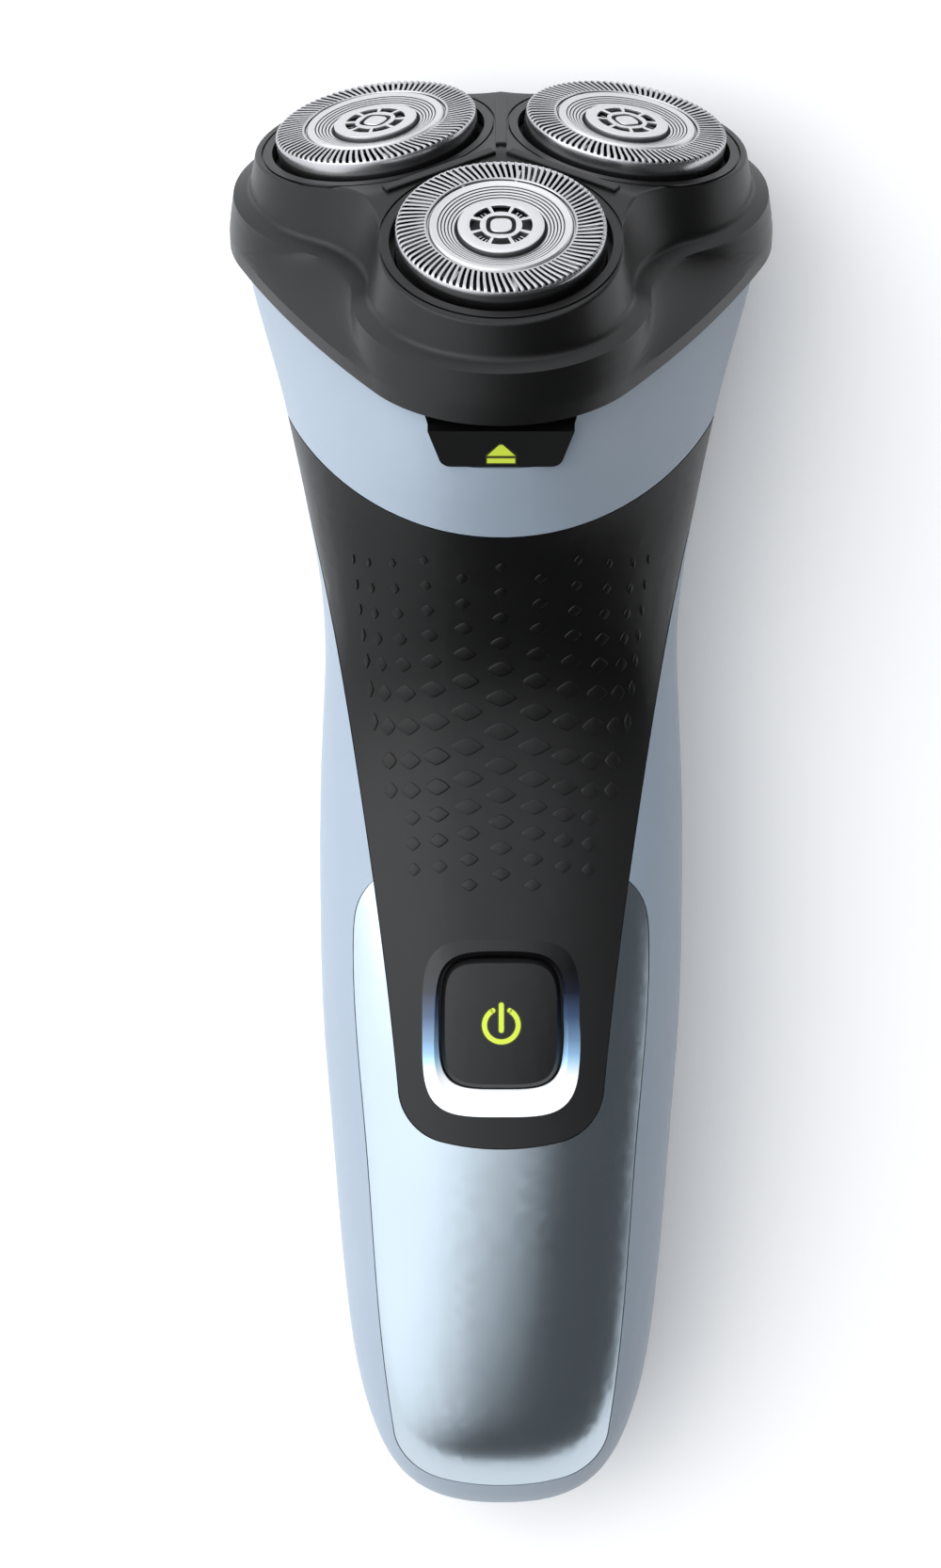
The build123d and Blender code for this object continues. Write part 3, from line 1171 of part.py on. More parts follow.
def build():
    """Every sub-part by name, in the body's frame."""
    parts = {make.__name__: make() for make in BODY_PARTS}
    parts |= {make.__name__: in_head(make()) for make in HEAD_PARTS}
    return parts | ring_parts() | spindle_parts()


def footprint_shift(parts):
    """Move that puts the origin at the middle of the footprint, on the surface below."""
    boxes = [part.bounding_box() for part in parts.values()]
    low = [min(getattr(box.min, axis) for box in boxes) for axis in "XYZ"]
    high = [max(getattr(box.max, axis) for box in boxes) for axis in "XYZ"]
    return Vector(-(low[0] + high[0]) / 2, -(low[1] + high[1]) / 2, -low[2])


if __name__ == "__main__":
    PARTS = build()
    SHIFT = footprint_shift(PARTS)
    os.makedirs("parts", exist_ok=True)
    for name, part in PARTS.items():
        export_step(Pos(*SHIFT) * part, f"parts/{name}.step")
    print("sub-parts", len(PARTS), "shift", SHIFT)
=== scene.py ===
"""Looks of a rotary electric shaver that lies on its back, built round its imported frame.

Lengths are in metres in the row's frame: X across the body, Y from the charging end to the
head, Z up out of the front. Sizes of one sub-assembly are fields of its class.
"""

from __future__ import annotations

import json
import logging
import math
from dataclasses import dataclass, field
from enum import Enum

import bmesh
import bpy
from mathutils import Matrix, Vector
from mathutils.bvhtree import BVHTree
from mathutils.kdtree import KDTree

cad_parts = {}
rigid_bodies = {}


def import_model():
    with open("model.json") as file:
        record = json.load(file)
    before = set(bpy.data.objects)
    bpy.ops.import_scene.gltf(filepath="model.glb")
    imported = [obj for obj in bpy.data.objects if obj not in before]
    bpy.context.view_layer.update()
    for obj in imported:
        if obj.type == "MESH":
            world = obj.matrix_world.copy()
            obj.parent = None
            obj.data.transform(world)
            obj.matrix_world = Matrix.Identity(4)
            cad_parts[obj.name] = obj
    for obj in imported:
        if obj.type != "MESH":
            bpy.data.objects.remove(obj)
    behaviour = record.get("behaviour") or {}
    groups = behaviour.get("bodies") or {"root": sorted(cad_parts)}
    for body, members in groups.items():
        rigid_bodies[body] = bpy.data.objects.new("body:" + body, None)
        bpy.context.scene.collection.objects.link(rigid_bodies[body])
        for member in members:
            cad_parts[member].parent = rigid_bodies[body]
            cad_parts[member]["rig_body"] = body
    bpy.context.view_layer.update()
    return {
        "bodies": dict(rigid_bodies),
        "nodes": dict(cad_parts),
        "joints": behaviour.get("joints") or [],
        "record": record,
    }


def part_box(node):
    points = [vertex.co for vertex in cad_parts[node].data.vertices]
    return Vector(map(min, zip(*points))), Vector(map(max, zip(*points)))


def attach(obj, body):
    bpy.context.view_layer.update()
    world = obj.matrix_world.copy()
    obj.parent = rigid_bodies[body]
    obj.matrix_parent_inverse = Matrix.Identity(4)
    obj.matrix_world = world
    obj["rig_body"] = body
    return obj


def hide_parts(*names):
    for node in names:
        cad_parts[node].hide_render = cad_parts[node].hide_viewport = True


LOG = logging.getLogger("shaver")
MM = 0.001
LOBES = ("front", "left", "right")
MERGE = 0.0001 * MM  # corners this close are one corner
LEAST_EDGE = 0.002 * MM  # shorter edges of a fine mesh are closed up
Colour = tuple[float, float, float]
Object, Node, Tree = bpy.types.Object, bpy.types.Node, bpy.types.NodeTree
BMesh, BMVert, BMFace = bmesh.types.BMesh, bmesh.types.BMVert, bmesh.types.BMFace


# ---- shader groups
def new_group(name: str, inputs: dict[str, tuple], outputs: dict[str, str]) -> tuple[Tree, Node, Node]:
    """Empty shader node group with named sockets.

    Args:
        name: name of the group.
        inputs: socket type and default value by input name.
        outputs: socket type by output name.

    Returns:
        The group, its input node and its output node.
    """
    group = bpy.data.node_groups.new(name, "ShaderNodeTree")
    for label, (kind, default) in inputs.items():
        socket = group.interface.new_socket(label, in_out="INPUT", socket_type=kind)
        if default is not None:
            socket.default_value = default
    for label, kind in outputs.items():
        group.interface.new_socket(label, in_out="OUTPUT", socket_type=kind)
    return group, group.nodes.new("NodeGroupInput"), group.nodes.new("NodeGroupOutput")


def make_node(nodes: bpy.types.Nodes, kind: str, values: dict | None = None, **settings: object) -> Node:
    """New shader node.

    Args:
        nodes: nodes of the tree that gets it.
        kind: type of the node.
        values: fixed input values by name or number.
        settings: properties of the node, set before the values.

    Returns:
        The node.
    """
    made = nodes.new(kind)
    for label, setting in settings.items():
        setattr(made, label, setting)
    for label, value in (values or {}).items():
        made.inputs[label].default_value = value
    return made


def relief_group() -> Tree:
    """Fine grain: a height for the bump and a roughness that wanders a little.

    Returns:
        The shader node group, made once.
    """
    found = bpy.data.node_groups.get("fine_relief")
    if found:
        return found
    group, start, end = new_group(
        "fine_relief",
        {
            "Place": ("NodeSocketVector", None), "Scale": ("NodeSocketFloat", 9000.0),
            "Roughness": ("NodeSocketFloat", 0.4), "Spread": ("NodeSocketFloat", 0.05),
        },
        {"Height": "NodeSocketFloat", "Roughness": "NodeSocketFloat"},
    )
    nodes, links = group.nodes, group.links
    grain = make_node(nodes, "ShaderNodeTexNoise", {"Detail": 3.0})
    patches = make_node(nodes, "ShaderNodeTexNoise", {"Detail": 2.0, "Scale": 120.0})
    centred = make_node(nodes, "ShaderNodeMath", {1: 0.5}, operation="SUBTRACT")
    scaled = make_node(nodes, "ShaderNodeMath", operation="MULTIPLY")
    summed = make_node(nodes, "ShaderNodeMath", operation="ADD")
    for texture in (grain, patches):
        links.new(start.outputs["Place"], texture.inputs["Vector"])
    links.new(start.outputs["Scale"], grain.inputs["Scale"])
    links.new(grain.outputs["Fac"], end.inputs["Height"])
    links.new(patches.outputs["Fac"], centred.inputs[0])
    links.new(centred.outputs[0], scaled.inputs[0])
    links.new(start.outputs["Spread"], scaled.inputs[1])
    links.new(scaled.outputs[0], summed.inputs[0])
    links.new(start.outputs["Roughness"], summed.inputs[1])
    links.new(summed.outputs[0], end.inputs["Roughness"])
    return group


def tone_group() -> Tree:
    """Slight light and dark variation of one colour.

    Returns:
        The shader node group, made once.
    """
    found = bpy.data.node_groups.get("soft_tone")
    if found:
        return found
    group, start, end = new_group(
        "soft_tone",
        {
            "Place": ("NodeSocketVector", None), "Spread": ("NodeSocketFloat", 0.06),
            "Colour": ("NodeSocketColor", (0.5, 0.5, 0.5, 1.0)),
        },
        {"Colour": "NodeSocketColor"},
    )
    nodes, links = group.nodes, group.links
    patches = make_node(nodes, "ShaderNodeTexNoise", {"Detail": 4.0, "Scale": 90.0})
    centred = make_node(nodes, "ShaderNodeMath", {1: 0.5}, operation="SUBTRACT")
    span = make_node(nodes, "ShaderNodeMath", {2: 1.0}, operation="MULTIPLY_ADD")
    tinted = make_node(nodes, "ShaderNodeVectorMath", operation="SCALE")
    links.new(start.outputs["Place"], patches.inputs["Vector"])
    links.new(patches.outputs["Fac"], centred.inputs[0])
    links.new(centred.outputs[0], span.inputs[0])
    links.new(start.outputs["Spread"], span.inputs[1])
    links.new(start.outputs["Colour"], tinted.inputs[0])
    links.new(span.outputs[0], tinted.inputs["Scale"])
    links.new(tinted.outputs[0], end.inputs["Colour"])
    return group


# ---- finishes
class Texture(Enum):
    """Kinds of fine surface relief: grain per metre, depth in metres, spread of the roughness."""

    MOULDED = (9000.0, 0.0015 * MM, 0.05)
    SOFT_TOUCH = (14000.0, 0.0015 * MM, 0.08)
    LACQUER = (16000.0, 0.0004 * MM, 0.03)
    METAL = (7000.0, 0.0004 * MM, 0.05)


@dataclass(frozen=True)
class Finish:
    """One finish of the shaver, with everything its shader needs."""

    name: str
    colour: Colour
    roughness: float
    texture: Texture = Texture.MOULDED
    metallic: float = 0.0
    coat: float = 0.0
    coat_roughness: float = 0.1
    specular: float = 0.5
    tone_spread: float = 0.06
    # a glow makes the part shine in its own colour, which is painted light
    glow: float = 0.0

    def material(self) -> bpy.types.Material:
        """Material of this finish.

        Returns:
            The node-based material, made once.
        """
        label = f"{self.name}_look"
        found = bpy.data.materials.get(label)
        if found:
            return found
        made = bpy.data.materials.new(label)
        made.use_nodes = True
        nodes, links = made.node_tree.nodes, made.node_tree.links
        shader = nodes["Principled BSDF"]
        values = {
            "Metallic": self.metallic, "Specular IOR Level": self.specular,
            "Coat Weight": self.coat, "Coat Roughness": self.coat_roughness,
        }
        if self.glow:
            values |= {"Emission Color": (*self.colour, 1.0), "Emission Strength": self.glow}
        for socket, value in values.items():
            shader.inputs[socket].default_value = value
        grain, depth, spread = self.texture.value
        place = make_node(nodes, "ShaderNodeTexCoord")
        relief = make_node(
            nodes, "ShaderNodeGroup", {"Scale": grain, "Roughness": self.roughness, "Spread": spread},
            node_tree=relief_group(),
        )
        tone = make_node(
            nodes, "ShaderNodeGroup", {"Colour": (*self.colour, 1.0), "Spread": self.tone_spread},
            node_tree=tone_group(),
        )
        bump = make_node(nodes, "ShaderNodeBump", {"Strength": 1.0, "Distance": depth})
        for group in (relief, tone):
            links.new(place.outputs["Object"], group.inputs["Place"])
        links.new(relief.outputs["Height"], bump.inputs["Height"])
        links.new(relief.outputs["Roughness"], shader.inputs["Roughness"])
        links.new(tone.outputs["Colour"], shader.inputs["Base Color"])
        links.new(bump.outputs["Normal"], shader.inputs["Normal"])
        return made


@dataclass(frozen=True)
class PaintedLightFinish(Finish):
    """Finish whose colour runs through several tones along the part, painting light and shade into it."""

    stops: tuple[tuple[float, Colour], ...] = ()

    def along(self, low: float, high: float) -> bpy.types.Material:
        """Material whose tones run along Y as painted light and shade.

        Args:
            low: where the first tone lies, in metres.
            high: where the last tone lies, in metres.

        Returns:
            The node-based material.
        """
        made = self.material()
        nodes, links = made.node_tree.nodes, made.node_tree.links
        place = make_node(nodes, "ShaderNodeTexCoord")
        split = make_node(nodes, "ShaderNodeSeparateXYZ")
        share = make_node(nodes, "ShaderNodeMapRange", {"From Min": low, "From Max": high})
        ramp = make_node(nodes, "ShaderNodeValToRGB")
        steps = ramp.color_ramp.elements
        steps[0].position, steps[0].color = self.stops[0][0], (*self.stops[0][1], 1.0)
        steps[1].position, steps[1].color = self.stops[-1][0], (*self.stops[-1][1], 1.0)
        for position, colour in self.stops[1:-1]:
            steps.new(position).color = (*colour, 1.0)
        links.new(place.outputs["Object"], split.inputs[0])
        links.new(split.outputs["Y"], share.inputs["Value"])
        links.new(share.outputs["Result"], ramp.inputs["Fac"])
        # The tones paint light and shade into the base colour, and into the glow where there is one.
        for socket in ("Base Color", "Emission Color"):
            links.new(ramp.outputs["Color"], nodes["Principled BSDF"].inputs[socket])
        return made


HOUSING_BLUE = Finish("housing_blue", (0.305, 0.37, 0.445), 0.45, coat=0.10, coat_roughness=0.35)
PANEL_SILVER = Finish("panel_silver", (0.49, 0.575, 0.64), 0.22, Texture.LACQUER, metallic=0.97, coat=0.3)
HEAD_BLACK = Finish("head_black", (0.0035, 0.0035, 0.0037), 0.36, specular=0.36)
BUTTON_BLACK = Finish("button_black", (0.0045, 0.0045, 0.0048), 0.32, specular=0.42)
INNER_BLACK = Finish("inner_black", (0.012, 0.012, 0.013), 0.55)
GUARD_STEEL = Finish("guard_steel", (0.50, 0.50, 0.51), 0.24, Texture.METAL, metallic=1.0)
PLATE_STEEL = Finish("plate_steel", (0.62, 0.62, 0.625), 0.36, Texture.METAL, metallic=0.95)
# Painted shade for the dish's grooves and the seat under the centre plate's edge.
GROOVE_PAINTED_SHADE = Finish("groove_painted_shade", (0.05, 0.05, 0.053), 0.55, metallic=0.5)
PLAIN_STEEL = Finish("plain_steel", (0.60, 0.60, 0.61), 0.30, Texture.METAL, metallic=1.0)
SIGN_EDGE = Finish("sign_edge", (0.045, 0.055, 0.006), 0.5, tone_spread=0.0)
SIGN_LIME = Finish("sign_lime", (0.66, 0.80, 0.06), 0.45, tone_spread=0.0)
LOCK_GREY = Finish("lock_grey", (0.16, 0.17, 0.19), 0.50)
GEAR_WHITE = Finish("gear_white", (0.72, 0.71, 0.66), 0.45)
SEAL_RUBBER = Finish("seal_rubber", (0.03, 0.03, 0.032), 0.70)
COPPER = Finish("copper_wire", (0.72, 0.36, 0.20), 0.35, Texture.METAL, metallic=1.0)
NICKEL = Finish("nickel", (0.78, 0.72, 0.58), 0.25, Texture.METAL, metallic=1.0)
BOARD_GREEN = Finish("board_green", (0.02, 0.16, 0.07), 0.40)
CELL_SLEEVE = Finish("cell_sleeve", (0.05, 0.27, 0.20), 0.35)
FLOOR_WHITE = Finish("floor_white", (0.98, 0.98, 0.98), 0.9, specular=0.0, tone_spread=0.0)
# Bezel: painted reflection, white towards the charging end through blue to black towards the head, with a glow in the
# same tones as painted light.
BEZEL_PAINTED_REFLECTION = PaintedLightFinish(
    "bezel_painted_reflection", (0.9, 0.9, 0.9), 0.20, Texture.LACQUER, metallic=0.05, coat=0.1, specular=0.4, glow=0.22,
    stops=(
        (0.22, (0.98, 0.99, 1.0)), (0.30, (0.47, 0.70, 0.88)), (0.35, (0.27, 0.46, 0.69)),
        (0.43, (0.155, 0.26, 0.40)), (0.56, (0.045, 0.08, 0.155)), (0.70, (0.008, 0.011, 0.023)),
        (0.82, (0.0015, 0.0015, 0.002)),
    ),
)
# Grip: black with painted light and shade, paler towards the charging end and darker towards the head.
GRIP_BLACK_PAINTED_SHADE = PaintedLightFinish(
    "grip_black", (0.004, 0.004, 0.004), 0.36, Texture.SOFT_TOUCH, specular=0.22,
    stops=(
        (0.0, (0.022, 0.022, 0.0225)), (0.45, (0.016, 0.016, 0.0163)), (0.65, (0.004, 0.004, 0.0041)),
        (1.0, (0.0015, 0.0015, 0.0016)),
    ),
)


# ---- mesh helpers
def dress(piece: Object, finish: Finish) -> Object:
    """Gives a piece one finish.

    Args:
        piece: mesh object.
        finish: its finish.

    Returns:
        The same piece.
    """
    if piece.data.materials:
        piece.data.materials.clear()
    piece.data.materials.append(finish.material())
    return piece


def new_piece(name: str, bm: BMesh, finish: Finish, smooth_deg: float = 35.0) -> Object:
    """Turns a bmesh into a piece with smooth faces and sharp corners.

    Args:
        name: name of the piece.
        bm: its mesh, which is freed.
        finish: its finish.
        smooth_deg: edges that turn by more than this stay sharp.

    Returns:
        The new object.
    """
    mesh = bpy.data.meshes.new(name)
    bm.to_mesh(mesh)
    bm.free()
    piece = bpy.data.objects.new(name, mesh)
    bpy.context.scene.collection.objects.link(piece)
    mesh.shade_smooth()
    mesh.set_sharp_from_angle(angle=math.radians(smooth_deg))
    return dress(piece, finish)


def faces_near(mesh: bpy.types.Mesh, reach: float) -> list[list[int]]:
    """Faces that have a corner near each vertex.

    Args:
        mesh: mesh to search.
        reach: how near, in metres.

    Returns:
        Face numbers by vertex.
    """
    places = KDTree(len(mesh.vertices))
    touching: list[list[int]] = [[] for _ in mesh.vertices]
    for vert in mesh.vertices:
        places.insert(vert.co, vert.index)
    places.balance()
    for face in mesh.polygons:
        for corner in face.vertices:
            touching[corner].append(face.index)
    return [sorted({face for _, index, _ in places.find_range(vert.co, reach) for face in touching[index]})
            for vert in mesh.vertices]


def even_normals(mesh: bpy.types.Mesh, reach: float, turn_deg: float, thin_share: float = 0.02,
                 lead_deg: float = 60.0) -> None:
    """Sets each corner's normal from the faces round it that turn by less than an angle.

    Broad faces count most, and the thin ones beside a seam follow their surface.

    Args:
        mesh: mesh to shade.
        reach: faces with a corner within this distance count, in metres.
        turn_deg: faces that turn by more than this from the corner's own face don't count.
        thin_share: a face is thin when its area is under this share of its half length squared.
        lead_deg: a thin face follows the broadest face near it that turns by less than this.
    """
    around = faces_near(mesh, reach)
    facing = [face.normal.copy() for face in mesh.polygons]
    area = [face.area for face in mesh.polygons]
    limit, lead_limit = math.cos(math.radians(turn_deg)), math.cos(math.radians(lead_deg))
    normals = []
    for face in mesh.polygons:
        half_length = (mesh.vertices[face.vertices[0]].co - face.center).length
        thin = face.area < thin_share * half_length**2
        for corner in face.vertices:
            near, own = around[corner], facing[face.index]
            if thin:
                alike = [other for other in near if facing[other].dot(own) > lead_limit]
                own = facing[max(alike, key=area.__getitem__, default=face.index)]
            total = Vector((0.0, 0.0, 0.0))
            for other in near:
                if facing[other].dot(own) > limit:
                    total += facing[other] * area[other]
            normals.append(total.normalized() if total.length > 0 else own)
    mesh.normals_split_custom_set(normals)


def smooth_copy(frame: dict, node: str, finish: Finish, reach: float, smooth_deg: float = 25.0) -> Object:
    """Smooth-shaded copy of a CAD node, which stands for the node.

    Args:
        frame: the loaded frame.
        node: name of the CAD node.
        finish: its finish.
        reach: how far round a corner its normal is found, in metres.
        smooth_deg: edges that turn by more than this stay sharp.

    Returns:
        The new object.
    """
    bm = bmesh.new()
    bm.from_mesh(frame["nodes"][node].data)
    bmesh.ops.remove_doubles(bm, verts=bm.verts, dist=LEAST_EDGE)
    bmesh.ops.dissolve_degenerate(bm, edges=bm.edges, dist=LEAST_EDGE)
    piece = new_piece(node + "_skin", bm, finish, smooth_deg)
    even_normals(piece.data, reach, smooth_deg)
    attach(piece, frame["nodes"][node]["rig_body"])
    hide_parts(node)
    return piece


def slot_of(frame: dict, node: str) -> str:
    """Material slot that the record gives a CAD node.

    Args:
        frame: the loaded frame.
        node: name of the CAD node.

    Returns:
        Name of the slot.
    """
    return next(part["material_slot"] for part in frame["record"]["subparts"] if part["node"] == node)


def joint_named(frame: dict, name: str) -> dict:
    """One joint of the row.

    Args:
        frame: the loaded frame.
        name: name of the joint.

    Returns:
        Its place, axis and limits.
    """
    return next(joint for joint in frame["joints"] if joint["name"] == name)


def axes_at(place: Vector, x_axis: Vector, z_axis: Vector) -> Matrix:
    """Frame with a given origin and two axes.

    Args:
        place: its origin.
        x_axis: its x axis, squared up to the z axis.
        z_axis: its z axis.

    Returns:
        The matrix from the frame to the world.
    """
    z_dir = z_axis.normalized()
    y_dir = z_dir.cross(x_axis.normalized()).normalized()
    turned = Matrix((y_dir.cross(z_dir), y_dir, z_dir)).transposed().to_4x4()
    turned.translation = place
    return turned


def spun_profile(bm: BMesh, profile: list[tuple[float, float]], steps: int, angle: float = math.tau) -> None:
    """Turns a profile in the XZ plane about Z.

    Args:
        bm: mesh to add to.
        profile: radius and height of each corner.
        steps: number of steps.
        angle: how far it turns.
    """
    verts = [bm.verts.new((radius, 0.0, height)) for radius, height in profile]
    edges = [bm.edges.new(pair) for pair in zip(verts, verts[1:])]
    bmesh.ops.spin(bm, geom=verts + edges, cent=(0, 0, 0), axis=(0, 0, 1), angle=angle, steps=steps,
                   use_merge=angle == math.tau)
    bmesh.ops.remove_doubles(bm, verts=bm.verts, dist=MERGE)


def face_up(bm: BMesh) -> None:
    """Turns the faces of an open skin so that they look up.

    Args:
        bm: the skin.
    """
    bmesh.ops.recalc_face_normals(bm, faces=bm.faces)
    if sum(face.normal.z for face in bm.faces) < 0:
        bmesh.ops.reverse_faces(bm, faces=bm.faces)


def polar(face: BMFace) -> tuple[float, float]:
    """Where a face's middle lies about Z.

    Args:
        face: the face.

    Returns:
        Its radius, and its angle in degrees.
    """
    middle = face.calc_center_median()
    return math.hypot(middle.x, middle.y), math.degrees(math.atan2(middle.y, middle.x))


def square_off(verts: list[BMVert], radius: float, power: float = 3.0) -> None:
    """Moves a circle of corners onto a rounded square of the same half width.

    Args:
        verts: the corners, about Z.
        radius: half width of the square.
        power: 2 gives a circle, more a squarer shape, and less a lozenge.
    """
    for vert in verts:
        angle = math.atan2(vert.co.y, vert.co.x)
        across, along = abs(math.cos(angle)), abs(math.sin(angle))
        reach = radius * (across**power + along**power) ** (-1 / power)
        vert.co.x, vert.co.y = reach * math.cos(angle), reach * math.sin(angle)


def round_edges(piece: Object, width: float, turn_deg: float = 40.0) -> None:
    """Rounds the sharp corners of a piece.

    Args:
        piece: mesh object.
        width: width of the rounding.
        turn_deg: edges that turn by more than this are rounded.
    """
    edge = piece.modifiers.new("edges", "BEVEL")
    edge.width = width
    edge.segments = 2
    edge.limit_method = "ANGLE"
    edge.angle_limit = math.radians(turn_deg)
    edge.harden_normals = False


def walled(piece: Object, thickness: float, bevel: float = 0.0, turn_deg: float = 40.0) -> Object:
    """Gives an open skin a wall on its inner side, and rounds its corners.

    Args:
        piece: mesh object whose faces point outwards.
        thickness: of the wall.
        bevel: width of the rounding, or 0 for none.
        turn_deg: edges that turn by more than this are rounded.

    Returns:
        The same piece.
    """
    wall = piece.modifiers.new("wall", "SOLIDIFY")
    wall.thickness = thickness
    wall.offset = -1.0
    if bevel:
        round_edges(piece, bevel, turn_deg)
    return piece


# ---- shaving rings
@dataclass
class ShavingRing:
    """One steel guard: slotted track and skirt, turned dish and pierced centre plate.

    Radii are measured from the ring's axis, and heights from the face of its track.
    """

    frame: dict
    lobe: str
    # slotted track
    pitch_count: int = 90
    pitch_steps: int = 4
    outer: float = 11.3 * MM
    slot_outer: float = 11.20 * MM
    slot_inner: float = 8.20 * MM
    track_inner: float = 7.95 * MM
    track_steps: int = 4
    edge_round: float = 0.50 * MM
    edge_steps: int = 3
    lip_width: float = 0.08 * MM
    lip_drop: float = 0.10 * MM
    crown: float = 0.05 * MM
    crown_inner: float = 8.36 * MM
    crown_outer: float = 11.13 * MM
    band: float = 0.35 * MM
    skirt: float = 4.9 * MM
    wall: float = 0.32 * MM
    slot_round: float = 0.03 * MM
    sharp_deg: float = 50.0
    slant_deg: float = 5.0
    # turned dish
    overlap: float = 0.02 * MM
    gutter: float = 0.34 * MM
    gutter_lip: float = 0.04 * MM
    gutter_width: float = 0.12 * MM
    dish_outer: float = 7.55 * MM
    rim_width: float = 0.12 * MM
    rim_rise: float = 0.03 * MM
    rim_drop: float = 0.06 * MM
    rim_slope: float = 0.3 * MM
    first_step: float = 0.5 * MM
    first_drop: float = 0.10 * MM
    last_gap: float = 0.22 * MM
    seat_width: float = 0.04 * MM
    seat_drop: float = 0.25 * MM
    seat_top: float = -0.12 * MM
    # faces within this of the plate's edge get painted shade
    painted_shade_from: float = 0.2 * MM
    dish_depth: float = 0.55 * MM
    dish_steps: int = 6
    dish_wall: float = 0.15 * MM
    dish_sides: int = 120
    groove_share: float = 0.40
    groove_lip: float = 0.4
    groove_drop: float = 1.6
    # centre plate
    plate: float = 4.65 * MM
    plate_height: float = -0.05 * MM
    plate_edge: float = 0.12 * MM
    plate_wall: float = 0.3 * MM
    plate_band: float = 3.9 * MM
    plate_sides: int = 96
    window_outer: float = 3.36 * MM
    window_inner: float = 2.27 * MM
    window_round: float = 0.02 * MM
    bar_from_deg: float = 19.0
    bar_to_deg: float = 25.0
    hub_gap: float = 1.60 * MM
    # island, disc and tabs
    island: float = 1.16 * MM
    island_depth: float = 0.6 * MM
    island_round: float = 0.08 * MM
    disc_outer: float = 4.5 * MM
    disc_edge: float = 4.3 * MM
    disc_top: float = -0.85 * MM
    disc_shoulder: float = -1.0 * MM
    disc_foot: float = -1.5 * MM
    disc_sides: int = 48
    tab_size: tuple[float, float, float] = (0.62 * MM, 0.14 * MM, 0.3 * MM)
    tab_place: tuple[float, float, float] = (2.82 * MM, 0.0, -0.6 * MM)
    tab_step_deg: float = 9.0

    def axes(self) -> Matrix:
        """The ring's own frame, with z out of its face.

        Returns:
            The matrix from the ring's frame to the world.
        """
        spin = joint_named(self.frame, f"cutter_spin_{self.lobe}")
        tilt = joint_named(self.frame, f"ring_tilt_{self.lobe}")
        return axes_at(Vector(spin["pos_m"]), Vector(tilt["axis"]), Vector(spin["axis"]))

    def finish_piece(self, name: str, bm: BMesh, finish: Finish, smooth_deg: float = 35.0) -> Object:
        """Places a mesh made in the ring's frame, and lets it ride on the guard.

        Args:
            name: first part of the piece's name.
            bm: its mesh, which is freed.
            finish: its finish.
            smooth_deg: edges that turn by more than this stay sharp.

        Returns:
            The piece.
        """
        bmesh.ops.transform(bm, matrix=self.axes(), verts=bm.verts)
        piece = new_piece(f"{name}_{self.lobe}", bm, finish, smooth_deg)
        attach(piece, f"guard_{self.lobe}")
        return piece

    def track_profile(self) -> list[tuple[float, float]]:
        """Section of the track, from its inner lip to the foot of the skirt.

        Returns:
            Radius and height of each corner.
        """
        shoulder = self.outer - self.edge_round
        inner_lip = self.track_inner + self.lip_width
        profile = [(self.track_inner, -self.lip_drop), (inner_lip, 0.0), (self.slot_inner, 0.0)]
        for step in range(1, self.track_steps + 1):
            profile.append((self.slot_inner + (shoulder - self.slot_inner) * step / self.track_steps, 0.0))
        for step in range(1, self.edge_steps + 1):
            turn = math.radians(90 * step / self.edge_steps)
            profile.append((shoulder + self.edge_round * math.sin(turn), -self.edge_round * (1 - math.cos(turn))))
        return profile + [(self.outer, -self.edge_round - self.band), (self.outer, -self.skirt)]

    def one_pitch(self) -> BMesh:
        """One bar of the track with the slot beside it.

        Returns:
            Its mesh, in the ring's frame.
        """
        bm = bmesh.new()
        pitch = math.tau / self.pitch_count
        spun_profile(bm, self.track_profile(), self.pitch_steps, pitch)
        slot = [face for face in bm.faces if self.slot_inner < polar(face)[0] < self.slot_outer
                and polar(face)[1] > math.degrees(pitch) / 2]
        bmesh.ops.delete(bm, geom=slot, context="FACES")
        bar_middle, near = pitch / 4, pitch / 50
        crown = [vert for vert in bm.verts if self.crown_inner < vert.co.xy.length < self.crown_outer
                 and abs(math.atan2(vert.co.y, vert.co.x) - bar_middle) < near]
        bmesh.ops.translate(bm, verts=crown, vec=(0.0, 0.0, self.crown))
        return bm

    def slant(self, bm: BMesh) -> None:
        """Turns each circle of corners a little more than the one inside it.

        Args:
            bm: the whole track.
        """
        for station in sorted({round(vert.co.xy.length, 6) for vert in bm.verts}):
            share = (station - self.track_inner) / (self.outer - self.track_inner)
            ring = [vert for vert in bm.verts if round(vert.co.xy.length, 6) == station]
            turn = Matrix.Rotation(math.radians(self.slant_deg) * share, 4, "Z")
            bmesh.ops.transform(bm, matrix=turn, verts=ring)

    def track(self) -> Object:
        """Slotted track that bends over into the skirt.

        Returns:
            The piece that stands for the guard.
        """
        bm = self.one_pitch()
        copies = self.pitch_count - 1
        bmesh.ops.spin(bm, geom=bm.verts[:] + bm.edges[:] + bm.faces[:], cent=(0, 0, 0), axis=(0, 0, 1),
                       angle=math.tau * copies / self.pitch_count, steps=copies, use_duplicate=True)
        bmesh.ops.remove_doubles(bm, verts=bm.verts, dist=LEAST_EDGE)
        self.slant(bm)
        bmesh.ops.recalc_face_normals(bm, faces=bm.faces)
        piece = self.finish_piece("guard_track", bm, GUARD_STEEL, self.sharp_deg)
        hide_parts(f"ring_guard_{self.lobe}")
        return walled(piece, self.wall, self.slot_round, self.sharp_deg)

